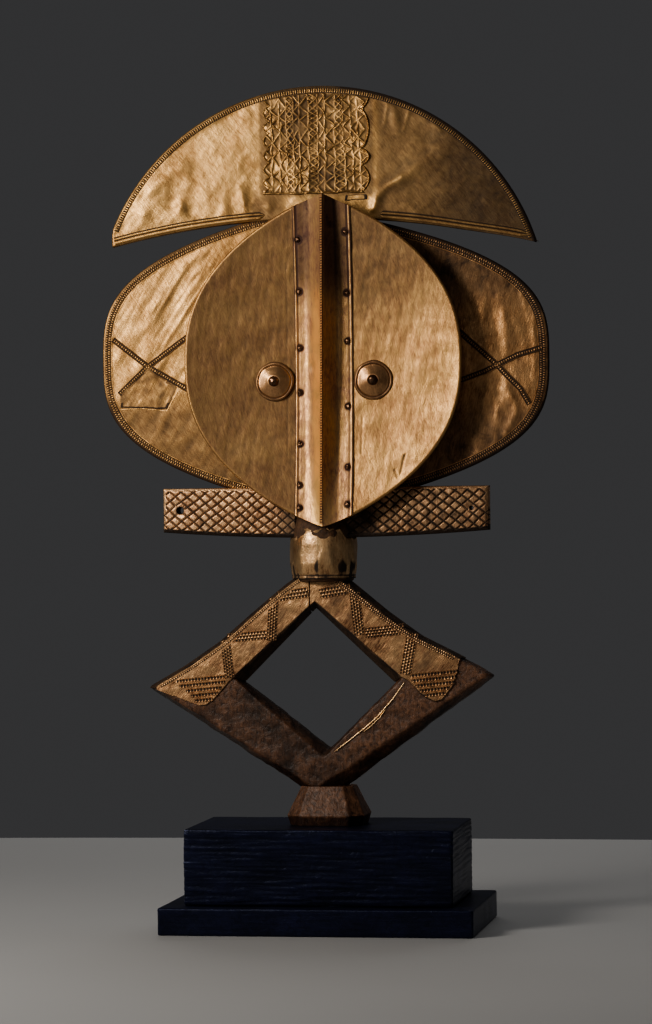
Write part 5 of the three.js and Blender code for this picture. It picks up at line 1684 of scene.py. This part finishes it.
def mix_colour(tree, factor, first, second, blend="MIX"):
    """Two colours mixed."""
    return node(tree, "ShaderNodeMix", {0: factor, 6: first, 7: second}, data_type="RGBA",
                blend_type=blend).outputs[2]


def ramp(tree, value, stops):
    """A grey ramp: (place, brightness) stops."""
    made = node(tree, "ShaderNodeValToRGB", {"Fac": value})
    elements = made.color_ramp.elements
    while len(elements) < len(stops):
        elements.new(0.5)
    for element, (place, bright) in zip(elements, stops):
        element.position = place
        element.color = (bright, bright, bright, 1)
    return made.outputs["Color"]


def place(tree):
    """Object coordinates, in metres."""
    return node(tree, "ShaderNodeTexCoord").outputs["Object"]


def drawn(tree, vector, turn, longer):
    """Coordinates turned, and stretched so that a pattern is drawn out along one direction."""
    return node(tree, "ShaderNodeMapping", {
        "Vector": vector, "Rotation": turn, "Scale": (1, 1, longer)},
        vector_type="TEXTURE").outputs["Vector"]


def noise(tree, vector, scale, detail=2.0, rough=0.5, distortion=0.0, low=0.0, high=1.0):
    """A noise texture's value, with low to high stretched to 0 to 1; its scale is in cells to a
    metre."""
    value = node(tree, "ShaderNodeTexNoise", {
        "Vector": vector, "Scale": scale, "Detail": detail, "Roughness": rough,
        "Distortion": distortion}).outputs["Fac"]
    return ramp(tree, value, ((low, 0), (high, 1)))


def make_patina_group():
    """Old beaten brass: fine grain drawn out along one direction, mottling and broad clouds laid
    between three colours, dark hollows and painted shade where the tone is low, and bright wear
    and painted highlights where it is high."""
    tree, given, result = new_group("brass_patina", {
        "Bright": "Color", "Middle": "Color", "Dark": "Color", "Tone": "Float",
        "Grime": "Float", "Turn": "Float", "Contrast": "Float",
    }, {"Color": "Color", "Roughness": "Float", "Metallic": "Float", "Height": "Float"})
    here = place(tree)
    turn = node(tree, "ShaderNodeCombineXYZ", {"Y": given["Turn"]}).outputs[0]
    cloud = noise(tree, here, 30, 4, 0.6, 0.3, 0.28, 0.72)
    streak = noise(tree, drawn(tree, here, turn, 7), 420, 4, 0.65, 0.4, 0.32, 0.68)
    mottle = noise(tree, drawn(tree, here, turn, 2), 300, 5, 0.75, 0.6, 0.34, 0.66)
    grain = noise(tree, drawn(tree, here, turn, 8), 1500, 2, 0.6, 0.0, 0.34, 0.66)
    value = weighed(tree, (cloud, 0.36), (streak, 0.2), (mottle, 0.22), (grain, 0.22))
    spread = between(tree, value, 0.28, 0.74)
    laid = mix_colour(tree, spread, given["Middle"], given["Bright"])
    deep = between(tree, value, 0.4, 0.16, 0.45)
    deep = maths(tree, "MULTIPLY", deep, given["Contrast"], clamp=True)
    laid = mix_colour(tree, deep, laid, given["Dark"])
    low = between(tree, given["Tone"], 0.46, 0.06)
    blotch = noise(tree, here, 60, 4, 0.7, 1.0, 0.5, 0.72)
    # Grime blotches, and the low tone of hollows and painted shade, mix towards the dark colour.
    dirt_and_shade = maths(tree, "MINIMUM", weighed(tree, (blotch, given["Grime"]), (low, 1.0)), 0.97)
    # High tone, from wear and painted highlights, mixes towards the bright colour.
    brighter = between(tree, given["Tone"], 0.6, 0.95)
    shine = mix_colour(tree, brighter, laid, given["Bright"])
    fill(tree, result, {
        "Color": mix_colour(tree, dirt_and_shade, shine, given["Dark"]),
        "Roughness": weighed(tree, (dirt_and_shade, 0.3), (spread, -0.12), (0.5, 1.0)),
        "Metallic": weighed(tree, (dirt_and_shade, -0.7), (0.93, 1.0)),
        "Height": weighed(tree, (streak, 0.35), (mottle, 0.5), (grain, 0.35)),
    })
    return tree


def make_scratch_group():
    """Fine wear on metal: long thin scratches in two directions and tiny pits, as a height."""
    tree, given, result = new_group(
        "metal_wear", {"Scratches": "Float", "Pits": "Float"}, {"Height": "Float"})
    scratched = 0.0
    for turn in ((0, 0.45, 0), (0, -0.8, 0)):
        part = noise(tree, drawn(tree, place(tree), turn, 30), 800, 2, 0.6, 0.2, 0.56, 0.7)
        scratched = maths(tree, "MULTIPLY_ADD", part, given["Scratches"], scratched)
    pitted = noise(tree, place(tree), 900, 2, 0.5, 0.0, 0.3, 0.46)
    pitted = maths(tree, "MULTIPLY", pitted, given["Pits"])
    fill(tree, result, {"Height": maths(tree, "SUBTRACT", pitted, scratched)})
    return tree


def make_grain_group():
    """Carved wood: fibres drawn out along one axis, small mottles and broad stains."""
    tree, given, result = new_group("wood_grain", {
        "Light": "Color", "Dark": "Color", "Stain": "Float", "Stretch": "Vector",
    }, {"Color": "Color", "Height": "Float"})
    here = place(tree)
    fibres = node(tree, "ShaderNodeVectorMath", {0: here, 1: given["Stretch"]},
                  operation="MULTIPLY").outputs[0]
    fibre = noise(tree, fibres, 520, 4, 0.65, 0.5, 0.35, 0.68)
    mottle = noise(tree, here, 210, 4, 0.7, 0.8, 0.38, 0.64)
    stain = noise(tree, here, 30, 4, 0.6, 0.5, 0.38, 0.66)
    both = weighed(tree, (fibre, 0.4), (mottle, 0.6))
    mixed = mix_colour(tree, both, given["Dark"], given["Light"])
    stained = maths(tree, "MULTIPLY", stain, given["Stain"])
    fill(tree, result, {
        "Color": mix_colour(tree, stained, mixed, given["Dark"]), "Height": both,
    })
    return tree


PATINA, WEAR, GRAIN = make_patina_group(), make_scratch_group(), make_grain_group()


def new_material(name):
    """An empty material with its shader joined to the output."""
    made = bpy.data.materials.new(name)
    made.use_nodes = True
    tree = made.node_tree
    return made, tree, tree.nodes["Principled BSDF"]


def brass_material(name, bright, middle, dark, grime, scratches=0.4, rough=0.0, turn=0,
                   contrast=1.0, bump_depth=0.0004, metal=1.0):
    """Beaten metal with its own three colours and the direction of its grain in degrees; metal is
    the share of it that isn't dulled."""
    made, tree, shader = new_material(name)
    patina = node(tree, "ShaderNodeGroup", {
        "Tone": node(tree, "ShaderNodeAttribute", attribute_name="tone").outputs["Fac"],
        "Bright": colour(*bright), "Middle": colour(*middle), "Dark": colour(*dark),
        "Grime": grime, "Turn": np.radians(turn), "Contrast": contrast,
    }, node_tree=PATINA).outputs
    wear = node(tree, "ShaderNodeGroup", {"Scratches": scratches, "Pits": 0.3}, node_tree=WEAR)
    relief = maths(tree, "ADD", patina["Height"], wear.outputs["Height"])
    bump = node(tree, "ShaderNodeBump", {
        "Height": relief, "Strength": 0.3, "Distance": bump_depth})
    fill(tree, shader, {
        "Base Color": patina["Color"],
        "Metallic": maths(tree, "MULTIPLY", patina["Metallic"], metal),
        "Roughness": maths(tree, "ADD", patina["Roughness"], rough),
        "Normal": bump.outputs["Normal"],
    })
    return made


def wood_material(name, light, dark, stain, stretch, rough, depth, gloss=0.5, tint=(1, 1, 1)):
    """Carved wood with its own colours and grain; stretch gives the fibres their direction."""
    made, tree, shader = new_material(name)
    tone = node(tree, "ShaderNodeAttribute", attribute_name="tone").outputs["Fac"]
    grain = node(tree, "ShaderNodeGroup", {
        "Light": colour(*light), "Dark": colour(*dark), "Stain": stain, "Stretch": stretch,
    }, node_tree=GRAIN).outputs
    # The tone attribute darkens the colour; on the lozenge and the foot it carries painted shade
    # and a painted highlight.
    shade = ramp(tree, tone, ((0.15, 0.25), (0.6, 1)))
    bump = node(tree, "ShaderNodeBump", {
        "Height": grain["Height"], "Strength": 0.6, "Distance": depth})
    fill(tree, shader, {
        "Base Color": mix_colour(tree, 1.0, grain["Color"], shade, "MULTIPLY"),
        "Normal": bump.outputs["Normal"], "Roughness": rough,
        "Specular IOR Level": gloss, "Specular Tint": (*tint, 1),
    })
    return made


crown_brass = brass_material(
    "crown_brass", (208, 168, 112), (162, 123, 79), (45, 31, 24),
    grime=0.12, scratches=0.15, turn=-38, contrast=0.5,
)
left_lobe_brass = brass_material(
    "left_lobe_brass", (212, 170, 114), (166, 125, 80), (58, 39, 26),
    grime=0.15, scratches=0.3, turn=-34, contrast=0.5,
)
# Darker colours and more grime than the left lobe: in part painted shade, as the right lobe lies
# in the face's shadow and away from the light.
right_lobe_brass = brass_material(
    "right_lobe_brass", (202, 158, 112), (142, 102, 68), (42, 28, 20),
    grime=0.35, scratches=0.25, turn=12, contrast=0.7,
)
face_brass = brass_material(
    "face_brass", (208, 166, 110), (170, 128, 88), (60, 45, 36),
    grime=0.12, scratches=0.2, turn=-16, contrast=0.4,
)
bar_brass = brass_material(
    "bar_brass", (236, 194, 150), (168, 122, 90), (30, 20, 15), grime=0.3,
)
arm_brass = brass_material(
    "arm_brass", (222, 180, 134), (140, 100, 73), (36, 25, 21),
    grime=0.35, turn=40, contrast=1.2,
)
neck_brass = brass_material(
    "neck_brass", (248, 210, 160), (186, 142, 102), (34, 22, 16), grime=0.3, rough=-0.1,
)
strip_copper = brass_material(
    "strip_copper", (252, 202, 132), (198, 148, 116), (68, 40, 34),
    grime=0.2, rough=-0.03, turn=-3, metal=0.74,
)
eye_brass = brass_material(
    "eye_brass", (214, 168, 122), (156, 114, 82), (34, 25, 20),
    grime=0.3, rough=-0.1, bump_depth=0.0002,
)
rusted_iron = brass_material(
    "rusted_iron", (136, 104, 80), (70, 50, 38), (22, 16, 13),
    grime=0.3, scratches=0, rough=-0.14, bump_depth=0.0003,
)
back_wood = wood_material(
    "back_wood", (122, 86, 56), (54, 36, 24),
    stain=0.6, stretch=(1, 1, 0.07), rough=0.7, depth=0.0008,
)
lozenge_wood = wood_material(
    "lozenge_wood", (146, 103, 74), (52, 34, 25),
    stain=0.36, stretch=(1, 1, 0.16), rough=0.46, depth=0.0006,
)
black_wood = wood_material(
    "black_wood", (28, 31, 58), (9, 11, 22),
    stain=0.5, stretch=(0.06, 0.3, 1), rough=0.38, depth=0.0003,
    gloss=0.45, tint=(0.55, 0.62, 1),
)

# Pieces
piece("crescent_sheet_worked", crescent_patches(), crown_brass, "beaten_brass", "crescent_sheet")
piece("crown_panel", panel_patches(), crown_brass, "beaten_brass", "crescent_sheet")
piece(
    "crown_repair", [flat_patch(CROWN_REPAIR, crown_front, 0.9, count=8)],
    crown_brass, "beaten_brass", "crown_repair_strip",
)
piece(
    "left_lobe_worked", lobe_patches(-1, LEFT_LOBE),
    left_lobe_brass, "beaten_brass", "left_lobe_sheet",
)
piece(
    "right_lobe_worked", lobe_patches(1, RIGHT_LOBE),
    right_lobe_brass, "beaten_brass", "right_lobe_sheet",
)
lobe_repair = flat_patch(
    LOBE_REPAIR, lobe_front(-1, LEFT_LOBE), 0.5, middle_tone=0.34, shade_below=344)
piece("left_lobe_repair", [lobe_repair], left_lobe_brass, "beaten_brass", "left_lobe_patch")
for side, word, nail_heights, arm_end in (
    (-1, "left", LEFT_NAILS, LEFT_ARM_END), (1, "right", RIGHT_NAILS, RIGHT_ARM_END),
):
    piece(
        f"{word}_face_beaten", [face_patch(side)],
        face_brass, "beaten_brass", f"{word}_face_sheet",
    )
    boss, nail = eye_patches(side)
    piece(f"{word}_eye_boss", [boss], eye_brass, "beaten_brass", f"{word}_eye", sharp=30)
    piece(f"{word}_eye_pin", [nail], rusted_iron, "iron_nail", f"{word}_eye_nail")
    for at, z in enumerate(nail_heights, start=1):
        piece(
            f"{word}_strip_pin_{at}", [strip_nail(side, z, SEED + at)],
            rusted_iron, "iron_nail", f"{word}_strip_nail_{at}",
        )
    piece(f"{word}_bar_worked", [bar_patch(side)], bar_brass, "beaten_brass", f"{word}_bar_sheet")
    piece(
        f"{word}_arm_worked", [arm_patch(side, arm_end), *arm_band_patches(side)],
        arm_brass, "beaten_brass", f"{word}_arm_sheet",
    )
piece("nose_strip_beaten", strip_patches(), strip_copper, "copper_strip", "nose_strip")
piece("neck_wrap", [neck_sheet_patch()], neck_brass, "beaten_brass", "neck_sheet")
back_patches = [
    *board_patches(), bar_wood_patch(), plaque_patch(), spine_patch(), back_lozenge_patch(),
]
piece("carved_back", back_patches, back_wood, "carved_wood", "wooden_figure")
piece(
    "carved_lozenge", [lozenge_patch(), foot_patch()],
    lozenge_wood, "carved_wood", "wooden_figure",
)
piece("bright_edge_line", edge_line_patches(), neck_brass, "beaten_brass", "right_arm_sheet")
block = stand_patch(BLOCK_WIDTH, BLOCK_DEPTH, PLATE_TOP + GAP, FOOT_BASE - GAP, 191, 0.28, 97)
piece("stand_block_stained", [block], black_wood, "stained_wood", "stand_block", base=0)
plate = stand_patch(PLATE_WIDTH, PLATE_DEPTH, 0, PLATE_TOP, 201, 0.05, 17)
piece("stand_plate_stained", [plate], black_wood, "stained_wood", "stand_plate", base=0)

# Floor, light and camera


def disc(name, radius, centre_y, material):
    """A round floor, its corners on one circle."""
    turn = np.linspace(0, 2 * np.pi, 192, endpoint=False)
    ring = np.stack([radius * np.cos(turn), centre_y + radius * np.sin(turn), 0 * turn], axis=1)
    mesh = bpy.data.meshes.new(name)
    mesh.from_pydata(ring.tolist(), [], [tuple(range(len(turn)))])
    mesh.materials.append(material)
    return placed(name, mesh)


FLOOR_RADIUS, FLOOR_MIDDLE_Y = 6.0, -5.2
floor_paint, floor_tree, floor_shader = new_material("pale_floor")
floor_shade = ramp(floor_tree, noise(floor_tree, place(floor_tree), 3, 2), ((0, 0.38), (1, 0.41)))
fill(floor_tree, floor_shader, {"Base Color": floor_shade, "Roughness": 0.85})
disc("floor", FLOOR_RADIUS, FLOOR_MIDDLE_Y, floor_paint)


def soft_light(name, place_at, aim, size, power, tint=(1, 1, 1)):
    """A square soft light aimed at a point."""
    lamp = bpy.data.lights.new(name, "AREA")
    lamp.shape = "RECTANGLE"
    lamp.size, lamp.size_y = size
    lamp.energy = power
    lamp.color = tint
    made = placed(name, lamp)
    made.location = place_at
    way = Vector(aim) - Vector(place_at)
    made.rotation_euler = way.to_track_quat("-Z", "Y").to_euler()
    return made


soft_light("key", (-0.63, -0.8, 0.73), (0, 0, 0.5), (0.28, 0.36), 7.4, (1, 0.94, 0.86))
soft_light("fill", (0.55, -2.8, 0.8), (0, 0, 0.35), (1.0, 1.0), 1.5, (1, 0.97, 0.94))
soft_light("top", (0.3, 0.6, 2.2), (0, 0, 0.5), (1.2, 1.2), 2.5)
back_light = soft_light("back", (-0.2, 3.0, 1.2), (0, 0, 0.4), (3.0, 2.2), 44, (1, 0.98, 0.95))
back_light.visible_glossy = False

world = bpy.data.worlds.new("studio")
bpy.context.scene.world = world
world.use_nodes = True
fill(world.node_tree, world.node_tree.nodes["Background"], {
    "Color": colour(150, 150, 152), "Strength": 0.16})

# The camera, found by matching points of the photo: its place in metres, its lens in millimetres
CAMERA_AT = (0.4843, -2.9606, 0.337)
CAMERA_TURN, CAMERA_ROLL = np.radians(9.3), np.radians(0.54)
CAMERA_LENS, CAMERA_SENSOR = 129.55, 36
eye = bpy.data.cameras.new("photo_view")
eye.sensor_fit = "VERTICAL"
eye.sensor_height = CAMERA_SENSOR
eye.lens = CAMERA_LENS
eye.clip_end = 100
camera = placed("photo_view", eye)
ahead = Vector((-np.sin(CAMERA_TURN), np.cos(CAMERA_TURN), 0))
upright = Matrix.Rotation(CAMERA_ROLL, 3, ahead) @ Vector((0, 0, 1))
across = ahead.cross(upright)
turned_camera = Matrix((across, upright, -ahead)).transposed().to_4x4()
camera.matrix_world = Matrix.Translation(CAMERA_AT) @ turned_camera
bpy.context.scene.camera = camera
bpy.context.scene.view_settings.look = "AgX - Medium High Contrast"
